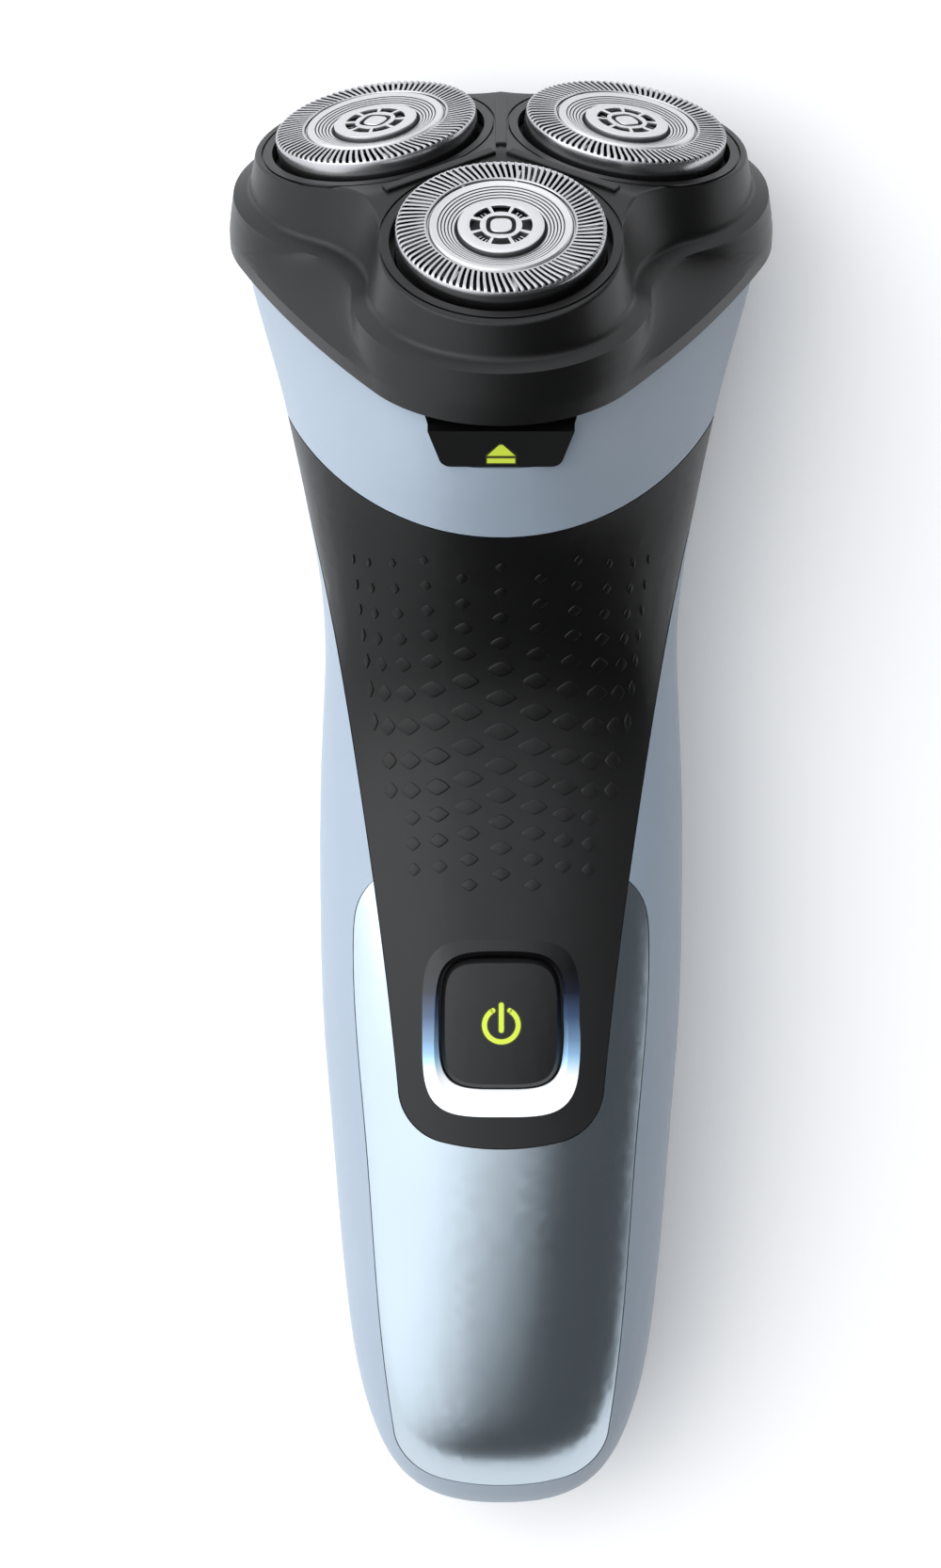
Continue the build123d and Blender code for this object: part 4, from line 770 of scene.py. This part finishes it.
    def dish(self) -> Object:
        """Gutter, bright rim and turned steps down to the centre plate.

        Returns:
            The piece, with painted shade on its grooves and under the edge of the centre plate.
        """
        bm = bmesh.new()
        profile = [
            (self.track_inner + self.overlap, self.gutter_lip - self.gutter),
            (self.track_inner - self.gutter_width, -self.gutter),
            (self.dish_outer + self.rim_width, -self.rim_drop), (self.dish_outer, self.rim_rise),
            (self.dish_outer - self.rim_width, self.rim_rise), (self.dish_outer - self.rim_slope, -self.rim_drop),
        ]
        start, end = self.dish_outer - self.first_step, self.plate + self.last_gap
        pitch = (start - end) / self.dish_steps
        drop = self.dish_depth / self.dish_steps
        for step in range(self.dish_steps):
            radius, height = start - pitch * step, -self.first_drop - drop * step
            profile += [
                (radius, height),
                (radius - pitch * (1 - self.groove_share), height - drop * self.groove_lip),
                (radius - pitch * (1 - self.groove_share / 2), height - drop * self.groove_drop),
            ]
        seat = (self.plate + self.seat_width, -self.dish_depth - self.seat_drop)
        profile += [(end, -self.dish_depth - self.first_drop), seat, (self.plate - self.overlap, self.seat_top)]
        spun_profile(bm, profile, self.dish_sides)
        # Painted shade: groove faces and the seat by the plate's edge take the dark second material.
        for face in bm.faces:
            radius = polar(face)[0]
            in_groove = end < radius < start and (start - radius) / pitch % 1.0 > 1 - self.groove_share
            if in_groove or radius < self.plate + self.painted_shade_from:
                face.material_index = 1
        face_up(bm)
        piece = self.finish_piece("guard_dish", bm, PLATE_STEEL, 30.0)
        piece.data.materials.append(GROOVE_PAINTED_SHADE.material())
        return walled(piece, self.dish_wall)

    def centre(self) -> Object:
        """Bright centre plate with eight windows round a rounded square hole.

        Returns:
            The piece.
        """
        bm = bmesh.new()
        top = self.plate_height
        profile = [(self.plate, top - self.plate_wall), (self.plate, top - self.plate_edge / 2)]
        flat = (self.plate - self.plate_edge, self.plate_band, self.window_outer, self.window_inner, self.hub_gap)
        profile += [(radius, top) for radius in flat]
        spun_profile(bm, profile, self.plate_sides)
        face_up(bm)
        windows = []
        for face in bm.faces:
            radius, angle = polar(face)
            from_axis = abs((angle + 45.0) % 90.0 - 45.0)
            in_bar = self.bar_from_deg <= from_axis <= self.bar_to_deg
            if self.window_inner < radius < self.window_outer and not in_bar:
                windows.append(face)
        bmesh.ops.delete(bm, geom=windows, context="FACES")
        square_off([vert for vert in bm.verts if vert.co.xy.length < self.hub_gap * 1.01], self.hub_gap)
        return walled(self.finish_piece("guard_centre", bm, PLATE_STEEL), self.plate_wall, self.window_round)

    def middle(self) -> Object:
        """Rounded square island in the hole of the centre plate.

        Returns:
            The piece.
        """
        bm = bmesh.new()
        bmesh.ops.create_circle(bm, cap_ends=True, segments=48, radius=self.island)
        square_off(bm.verts[:], self.island)
        bmesh.ops.translate(bm, verts=bm.verts, vec=(0, 0, -self.island_depth))
        made = bmesh.ops.extrude_face_region(bm, geom=bm.faces[:])
        top = [item for item in made["geom"] if isinstance(item, BMVert)]
        bmesh.ops.translate(bm, verts=top, vec=(0, 0, self.island_depth + self.plate_height))
        bmesh.ops.recalc_face_normals(bm, faces=bm.faces)
        piece = self.finish_piece("guard_island", bm, PLATE_STEEL)
        round_edges(piece, self.island_round)
        return piece

    def shade_disc(self) -> Object:
        """Dark plastic disc of the cutter under the windows.

        Returns:
            The piece.
        """
        bm = bmesh.new()
        profile = [
            (MERGE, self.disc_top), (self.disc_edge, self.disc_top), (self.disc_outer, self.disc_shoulder),
            (self.disc_outer, self.disc_foot), (MERGE, self.disc_foot),
        ]
        spun_profile(bm, profile, self.disc_sides)
        bmesh.ops.recalc_face_normals(bm, faces=bm.faces)
        piece = self.finish_piece("guard_shade", bm, INNER_BLACK)
        return piece

    def tabs(self) -> Object:
        """Small bright tabs that show in the four diagonal windows.

        Returns:
            The piece.
        """
        bm = bmesh.new()
        for quarter in range(4):
            for bar in (-1, 0, 1):
                made = bmesh.ops.create_cube(bm, size=1.0)["verts"]
                turn = math.radians(45 + 90 * quarter + self.tab_step_deg * bar)
                bmesh.ops.scale(bm, verts=made, vec=self.tab_size)
                bmesh.ops.translate(bm, verts=made, vec=self.tab_place)
                bmesh.ops.rotate(bm, verts=made, matrix=Matrix.Rotation(turn, 3, "Z"), cent=(0, 0, 0))
        return self.finish_piece("guard_tabs", bm, GUARD_STEEL)

    def build(self) -> None:
        """Makes the pieces of this ring."""
        for piece in (self.track(), self.dish(), self.centre(), self.middle(), self.shade_disc(), self.tabs()):
            LOG.info("%s: %d faces", piece.name, len(piece.data.polygons))


# ---- grip
class Surface:
    """Outer surface of a piece, found from above."""

    ABOVE = 0.2

    def __init__(self, piece: Object) -> None:
        """Makes the search tree.

        Args:
            piece: its mesh object.
        """
        bm = bmesh.new()
        bm.from_mesh(piece.data)
        self.tree = BVHTree.FromBMesh(bm)
        bm.free()

    def under(self, x: float, y: float) -> tuple[Vector, Vector] | None:
        """Surface under a place.

        Args:
            x: across the shaver.
            y: along the shaver.

        Returns:
            Its point and upward normal, or None beside the piece.
        """
        place, normal, _, _ = self.tree.ray_cast(Vector((x, y, self.ABOVE)), Vector((0.0, 0.0, -1.0)))
        if place is None:
            return None
        return place, normal if normal.z > 0 else -normal


@dataclass
class GripStuds:
    """Raised lozenges in staggered, bowed columns on the grip."""

    frame: dict
    skin: Object
    middle: float = 9.9 * MM
    # rows
    pitch: float = 2.85 * MM
    stretch: float = 1.5 * MM
    stretch_rows: float = 1.4
    first_row: int = -8
    row_count: int = 24
    highest: float = 29.5 * MM
    lowest: tuple[float, ...] = (-6.6 * MM, -8.2 * MM, -7.8 * MM, -8.2 * MM, 1.0 * MM, 7.5 * MM)
    # columns
    side_columns: int = 5
    column_deg: float = 15.0
    reach: float = 14.6 * MM
    flare: float = 0.12
    gather: float = 0.055
    bow: float = 0.068
    # one stud
    size: tuple[float, float] = (3.9 * MM, 2.15 * MM)
    height: float = 0.28 * MM
    sides: int = 16
    squareness: float = 1.22
    tiers: tuple[tuple[float, float], ...] = ((1.0, 0.55), (0.88, 0.35), (0.76, 0.10))
    sunk: float = 0.5
    fade_up: float = 13.0 * MM
    fade_down: float = 17.0 * MM
    least_length: float = 0.35

    def level(self, step: float) -> float:
        """Y of a row, with the rows widest apart in the middle.

        Args:
            step: number of rows above the middle.

        Returns:
            Its Y.
        """
        return self.middle + self.pitch * step + self.stretch * math.tanh(step / self.stretch_rows)

    def share(self, y: float) -> float:
        """How much smaller the studs are away from the middle.

        Args:
            y: place along the grip.

        Returns:
            From 1 down.
        """
        away = y - self.middle
        return 1.0 / (1.0 + (away / (self.fade_up if away > 0 else self.fade_down)) ** 2)

    def across(self, y: float) -> float:
        """How far the columns spread at a level.

        Args:
            y: place along the grip.

        Returns:
            Radius about which the columns are set out.
        """
        above, below = max(0.0, y - self.middle), max(0.0, self.middle - y)
        return self.reach + self.flare * above - self.gather * below

    def stud(self, bm: BMesh, spot: Matrix, width: float, length: float) -> None:
        """Adds one lozenge.

        Args:
            bm: mesh to add to.
            spot: frame of its foot.
            width: across the grip.
            length: along the grip.
        """
        made = bmesh.ops.create_circle(bm, cap_ends=True, segments=self.sides, radius=1.0)["verts"]
        square_off(made, 1.0, self.squareness)
        top = made[0].link_faces[0]
        bmesh.ops.scale(bm, verts=made, vec=(width / 2, length / 2, 1.0))
        bmesh.ops.translate(bm, verts=made, vec=(0, 0, -self.height * self.sunk))
        parts, before = list(made), 1.0
        for shrink, rise in self.tiers:
            lifted = bmesh.ops.extrude_face_region(bm, geom=[top])["geom"]
            ring = [item for item in lifted if isinstance(item, BMVert)]
            top = next(item for item in lifted if isinstance(item, BMFace))
            bmesh.ops.scale(bm, verts=ring, vec=(shrink / before, shrink / before, 1.0))
            bmesh.ops.translate(bm, verts=ring, vec=(0, 0, self.height * rise))
            parts += ring
            before = shrink
        bmesh.ops.transform(bm, matrix=spot, verts=parts)

    def build(self) -> None:
        """Places the studs on the grip."""
        surface = Surface(self.skin)
        bm = bmesh.new()
        for column in range(-self.side_columns, self.side_columns + 1):
            turn = math.radians(self.column_deg * column)
            lift = self.bow * column**2 - 0.5 * (column % 2)
            first = math.floor(self.first_row - lift)
            for row in range(first, first + self.row_count):
                y = self.level(row + lift)
                if not self.lowest[abs(column)] < y < self.highest:
                    continue
                found = surface.under(self.across(y) * math.sin(turn), y)
                if found is None:
                    continue
                share = self.share(y)
                width = self.size[0] * share * math.cos(turn)
                length = self.size[1] * (self.least_length + (1 - self.least_length) * share)
                self.stud(bm, axes_at(found[0], Vector((1.0, 0.0, 0.0)), found[1]), width, length)
        bmesh.ops.recalc_face_normals(bm, faces=bm.faces)
        studs = new_piece("grip_studs", bm, GRIP_BLACK_PAINTED_SHADE, 60.0)
        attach(studs, self.frame["nodes"]["grip_panel"]["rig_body"])


# ---- signs
@dataclass
class ButtonSigns:
    """Power and eject signs, each a thin lime film with a dark edge, laid on its button."""

    frame: dict
    lift: float = 0.035 * MM
    edge: float = 0.13 * MM
    tip_sides: int = 16
    # power sign
    ring_radius: float = 1.88 * MM
    stroke: float = 0.56 * MM
    gap_deg: float = 30.0
    arc_steps: int = 48
    bar_top: float = 2.4 * MM
    bar_foot: float = -0.45 * MM
    bar_steps: int = 8
    power_drop: float = 0.1 * MM
    # eject sign
    eject_width: float = 3.0 * MM
    eject_height: float = 1.18 * MM
    eject_bar: float = 0.52 * MM
    eject_gap: float = 0.27 * MM
    eject_foot: float = 0.42 * MM
    eject_tip: float = 0.18 * MM
    eject_cuts: int = 4
    corner_grow: float = 1.2

    def tip(self, bm: BMesh, place: Vector, radius: float) -> None:
        """Round end of a line.

        Args:
            bm: mesh to add to.
            place: its centre.
            radius: its radius.
        """
        bmesh.ops.create_circle(
            bm, cap_ends=True, segments=self.tip_sides, radius=radius, matrix=Matrix.Translation(place)
        )

    def strip(self, bm: BMesh, middle: list[Vector], width: float) -> None:
        """Flat strip with round ends along a line.

        Args:
            bm: mesh to add to.
            middle: points of its middle line.
            width: of the strip.
        """
        for start, end in zip(middle, middle[1:]):
            along = (end - start).normalized() * width / 2
            side = Vector((-along.y, along.x, 0.0))
            bm.faces.new([bm.verts.new(corner) for corner in (start - side, end - side, end + side, start + side)])
        for place in (middle[0], middle[-1]):
            self.tip(bm, place, width / 2)

    def power(self, grow: float) -> BMesh:
        """Open ring with a bar, about its own centre.

        Args:
            grow: how far it is grown all round.

        Returns:
            The flat sign.
        """
        bm = bmesh.new()
        half = self.stroke / 2 + grow
        inner, outer = self.ring_radius - half, self.ring_radius + half
        span = 360 - 2 * self.gap_deg
        turn = [math.radians(90 + self.gap_deg + span * step / self.arc_steps) for step in range(self.arc_steps + 1)]
        arc = [Vector((math.cos(angle), math.sin(angle), 0.0)) for angle in turn]
        for start, end in zip(arc, arc[1:]):
            bm.faces.new([bm.verts.new(corner) for corner in (start * inner, start * outer, end * outer, end * inner)])
        for end in (arc[0], arc[-1]):
            self.tip(bm, end * self.ring_radius, half)
        foot, rise = self.bar_foot - self.stroke / 4, (self.bar_top - self.bar_foot) / self.bar_steps
        bar = [Vector((0.0, foot + rise * step, 0.0)) for step in range(self.bar_steps + 1)]
        self.strip(bm, bar, self.stroke + 2 * grow)
        return bm

    def eject(self, grow: float) -> BMesh:
        """Triangle over a bar, with its foot on the x axis.

        Args:
            grow: how far it is grown all round.

        Returns:
            The flat sign.
        """
        bm = bmesh.new()
        half, base = self.eject_width / 2, self.eject_bar + self.eject_gap
        apex = base + self.eject_height + grow
        side, corner = half + grow, half + grow * self.corner_grow
        bar = [(-side, -grow), (side, -grow), (side, self.eject_bar + grow), (-side, self.eject_bar + grow)]
        triangle = [
            (-corner, base - grow), (corner, base - grow), (side, base + grow),
            (self.eject_tip, apex), (-self.eject_tip, apex), (-side, base + grow),
        ]
        for shape in (bar, triangle):
            face = bm.faces.new([bm.verts.new((x, y, 0.0)) for x, y in shape])
            bmesh.ops.triangulate(bm, faces=[face])
        bmesh.ops.subdivide_edges(bm, edges=bm.edges[:], cuts=self.eject_cuts, use_grid_fill=True)
        return bm

    def lay(self, name: str, bm: BMesh, spot: Vector, node: str, skin: Object, lift: float, finish: Finish) -> None:
        """Lays a flat sign on a button's cap.

        Args:
            name: name of the piece.
            bm: the flat sign.
            spot: where its origin goes, seen from above.
            node: the button's node.
            skin: the button's surface.
            lift: how far it stands off the cap.
            finish: its finish.
        """
        surface = Surface(skin)
        bmesh.ops.remove_doubles(bm, verts=bm.verts, dist=MERGE)
        for vert in bm.verts:
            x, y = vert.co.x + spot.x, vert.co.y + spot.y
            found = surface.under(x, y)
            vert.co = found[0] + found[1] * lift if found else Vector((x, y, spot.z))
        for face in bm.faces:
            face.normal_update()
            if face.normal.z < 0:
                face.normal_flip()
        sign = new_piece(name, bm, finish, 30.0)
        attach(sign, self.frame["nodes"][node]["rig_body"])

    def build(self, skins: dict[str, Object]) -> None:
        """Makes both signs and their dark edges.

        Args:
            skins: surface of each button by node.
        """
        low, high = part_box("power_button")
        cap = Vector(((low[0] + high[0]) / 2, (low[1] + high[1]) / 2 - self.power_drop, high[2]))
        low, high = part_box("release_button")
        face = Vector((0.0, low[1] + self.eject_foot, low[2]))
        signs = (("power", "power_button", cap, self.power), ("eject", "release_button", face, self.eject))
        for label, node, spot, shape in signs:
            self.lay(f"{label}_sign_edge", shape(self.edge), spot, node, skins[node], self.lift / 2, SIGN_EDGE)
            self.lay(f"{label}_sign", shape(0.0), spot, node, skins[node], self.lift, SIGN_LIME)


# ---- studio
@dataclass
class Studio:
    """Camera, lamp, surroundings and floor."""

    # camera
    eye: Vector = field(default_factory=lambda: Vector((0.0, 53.301, 469.23)) * MM)
    tilt_deg: float = 6.404
    lens_mm: float = 90.997
    sensor_mm: float = 36.0
    shift_x: float = -0.0195
    clip: tuple[float, float] = (0.01, 20.0)
    # lamp
    aim: Vector = field(default_factory=lambda: Vector((0.0, 0.0, 0.02)))
    key_towards: Vector = field(default_factory=lambda: Vector((-0.70, 0.28, 0.66)).normalized())
    key_distance: float = 1.15
    key_size: tuple[float, float] = (0.95, 1.3)
    key_power: float = 5.5
    # surroundings
    sky: Colour = (0.95, 0.97, 1.0)
    pale_towards: Vector = field(default_factory=lambda: Vector((-0.825, 0.495, 0.275)).normalized())
    dim_until: float = -0.32
    pale_from: float = 0.52
    dim: float = 0.09
    pale: float = 1.65
    # floor
    floor_half: float = 3.5
    floor_glow: float = 0.08

    def camera(self) -> None:
        """Camera above the shaver, turned slightly towards its charging end."""
        data = bpy.data.cameras.new("camera")
        data.sensor_width = self.sensor_mm
        data.lens = self.lens_mm
        data.shift_x = self.shift_x
        data.clip_start, data.clip_end = self.clip
        camera = bpy.data.objects.new("camera", data)
        bpy.context.scene.collection.objects.link(camera)
        camera.location = self.eye
        camera.rotation_euler = (-math.radians(self.tilt_deg), 0.0, 0.0)
        bpy.context.scene.camera = camera

    def key(self) -> None:
        """One large soft lamp high on the left."""
        data = bpy.data.lights.new("key", "AREA")
        data.shape = "RECTANGLE"
        data.size, data.size_y = self.key_size
        data.energy = self.key_power
        lamp = bpy.data.objects.new("key", data)
        bpy.context.scene.collection.objects.link(lamp)
        lamp.location = self.aim + self.key_towards * self.key_distance
        lamp.rotation_euler = (self.aim - lamp.location).to_track_quat("-Z", "Y").to_euler()

    def world(self) -> None:
        """Soft surroundings, pale towards the key and dim away from it."""
        world = bpy.data.worlds.new("surroundings")
        bpy.context.scene.world = world
        world.use_nodes = True
        nodes, links = world.node_tree.nodes, world.node_tree.links
        sky = nodes["Background"]
        sky.inputs["Color"].default_value = (*self.sky, 1.0)
        place = make_node(nodes, "ShaderNodeTexCoord")
        facing = make_node(nodes, "ShaderNodeVectorMath", {1: self.pale_towards}, operation="DOT_PRODUCT")
        level = make_node(
            nodes, "ShaderNodeMapRange",
            {"From Min": self.dim_until, "From Max": self.pale_from, "To Min": self.dim, "To Max": self.pale},
            interpolation_type="SMOOTHSTEP",
        )
        links.new(place.outputs["Generated"], facing.inputs[0])
        links.new(facing.outputs["Value"], level.inputs["Value"])
        links.new(level.outputs["Result"], sky.inputs["Strength"])

    def floor(self) -> None:
        """Plain pale floor, a little paler to the eye and in reflections."""
        bm = bmesh.new()
        bmesh.ops.create_grid(bm, x_segments=1, y_segments=1, size=self.floor_half)
        floor = new_piece("floor", bm, FLOOR_WHITE)
        nodes, links = floor.active_material.node_tree.nodes, floor.active_material.node_tree.links
        rays = make_node(nodes, "ShaderNodeLightPath")
        seen = make_node(nodes, "ShaderNodeMath", operation="MAXIMUM")
        seen_through = make_node(nodes, "ShaderNodeMath", operation="MAXIMUM")
        glow = make_node(nodes, "ShaderNodeEmission", {"Strength": self.floor_glow})
        dark = make_node(nodes, "ShaderNodeEmission", {"Strength": 0.0})
        chosen = make_node(nodes, "ShaderNodeMixShader")
        summed = make_node(nodes, "ShaderNodeAddShader")
        links.new(rays.outputs["Is Camera Ray"], seen.inputs[0])
        links.new(rays.outputs["Is Glossy Ray"], seen.inputs[1])
        links.new(seen.outputs[0], seen_through.inputs[0])
        links.new(rays.outputs["Is Transmission Ray"], seen_through.inputs[1])
        links.new(seen_through.outputs[0], chosen.inputs["Fac"])
        links.new(dark.outputs[0], chosen.inputs[1])
        links.new(glow.outputs[0], chosen.inputs[2])
        links.new(nodes["Principled BSDF"].outputs[0], summed.inputs[0])
        links.new(chosen.outputs[0], summed.inputs[1])
        links.new(summed.outputs[0], nodes["Material Output"].inputs["Surface"])

    def build(self) -> None:
        """Sets up the view, the light and the floor."""
        bpy.context.scene.view_settings.view_transform = "Standard"
        self.camera()
        self.key()
        self.world()
        self.floor()


# ---- main
SKINNED = {
    "front_housing": HOUSING_BLUE, "rear_housing": HOUSING_BLUE, "grip_panel": GRIP_BLACK_PAINTED_SHADE,
    "lower_panel": PANEL_SILVER, "button_bezel": BEZEL_PAINTED_REFLECTION, "power_button": BUTTON_BLACK,
    "release_button": BUTTON_BLACK, "head_cover": HEAD_BLACK,
}
BY_SLOT = {
    "steel": PLAIN_STEEL, "inner_black": INNER_BLACK, "lock_grey": LOCK_GREY, "gear_white": GEAR_WHITE,
    "seal_rubber": SEAL_RUBBER, "motor_steel": PLAIN_STEEL, "copper": COPPER, "contact_nickel": NICKEL,
    "board_green": BOARD_GREEN, "component_black": INNER_BLACK, "cell_green": CELL_SLEEVE,
}
USUAL_REACH = 0.12 * MM
POLISHED_REACH = {"button_bezel": 0.3 * MM, "power_button": 0.3 * MM, "lower_panel": 0.8 * MM}


def main() -> None:
    """Builds the whole scene."""
    logging.basicConfig(level=logging.INFO, format="%(name)s: %(message)s")
    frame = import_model()
    Studio().build()
    skins = {}
    for node, cad in frame["nodes"].items():
        if node in SKINNED:
            skins[node] = smooth_copy(frame, node, SKINNED[node], POLISHED_REACH.get(node, USUAL_REACH))
        else:
            dress(cad, BY_SLOT[slot_of(frame, node)])
    # Painted light and shade along the bezel and the grip.
    for node, painted_light in (("button_bezel", BEZEL_PAINTED_REFLECTION), ("grip_panel", GRIP_BLACK_PAINTED_SHADE)):
        low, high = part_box(node)
        painted_light.along(low[1], high[1])
    GripStuds(frame, skins["grip_panel"]).build()
    ButtonSigns(frame).build(skins)
    for lobe in LOBES:
        ShavingRing(frame, lobe).build()


if __name__ == "__main__":
    main()
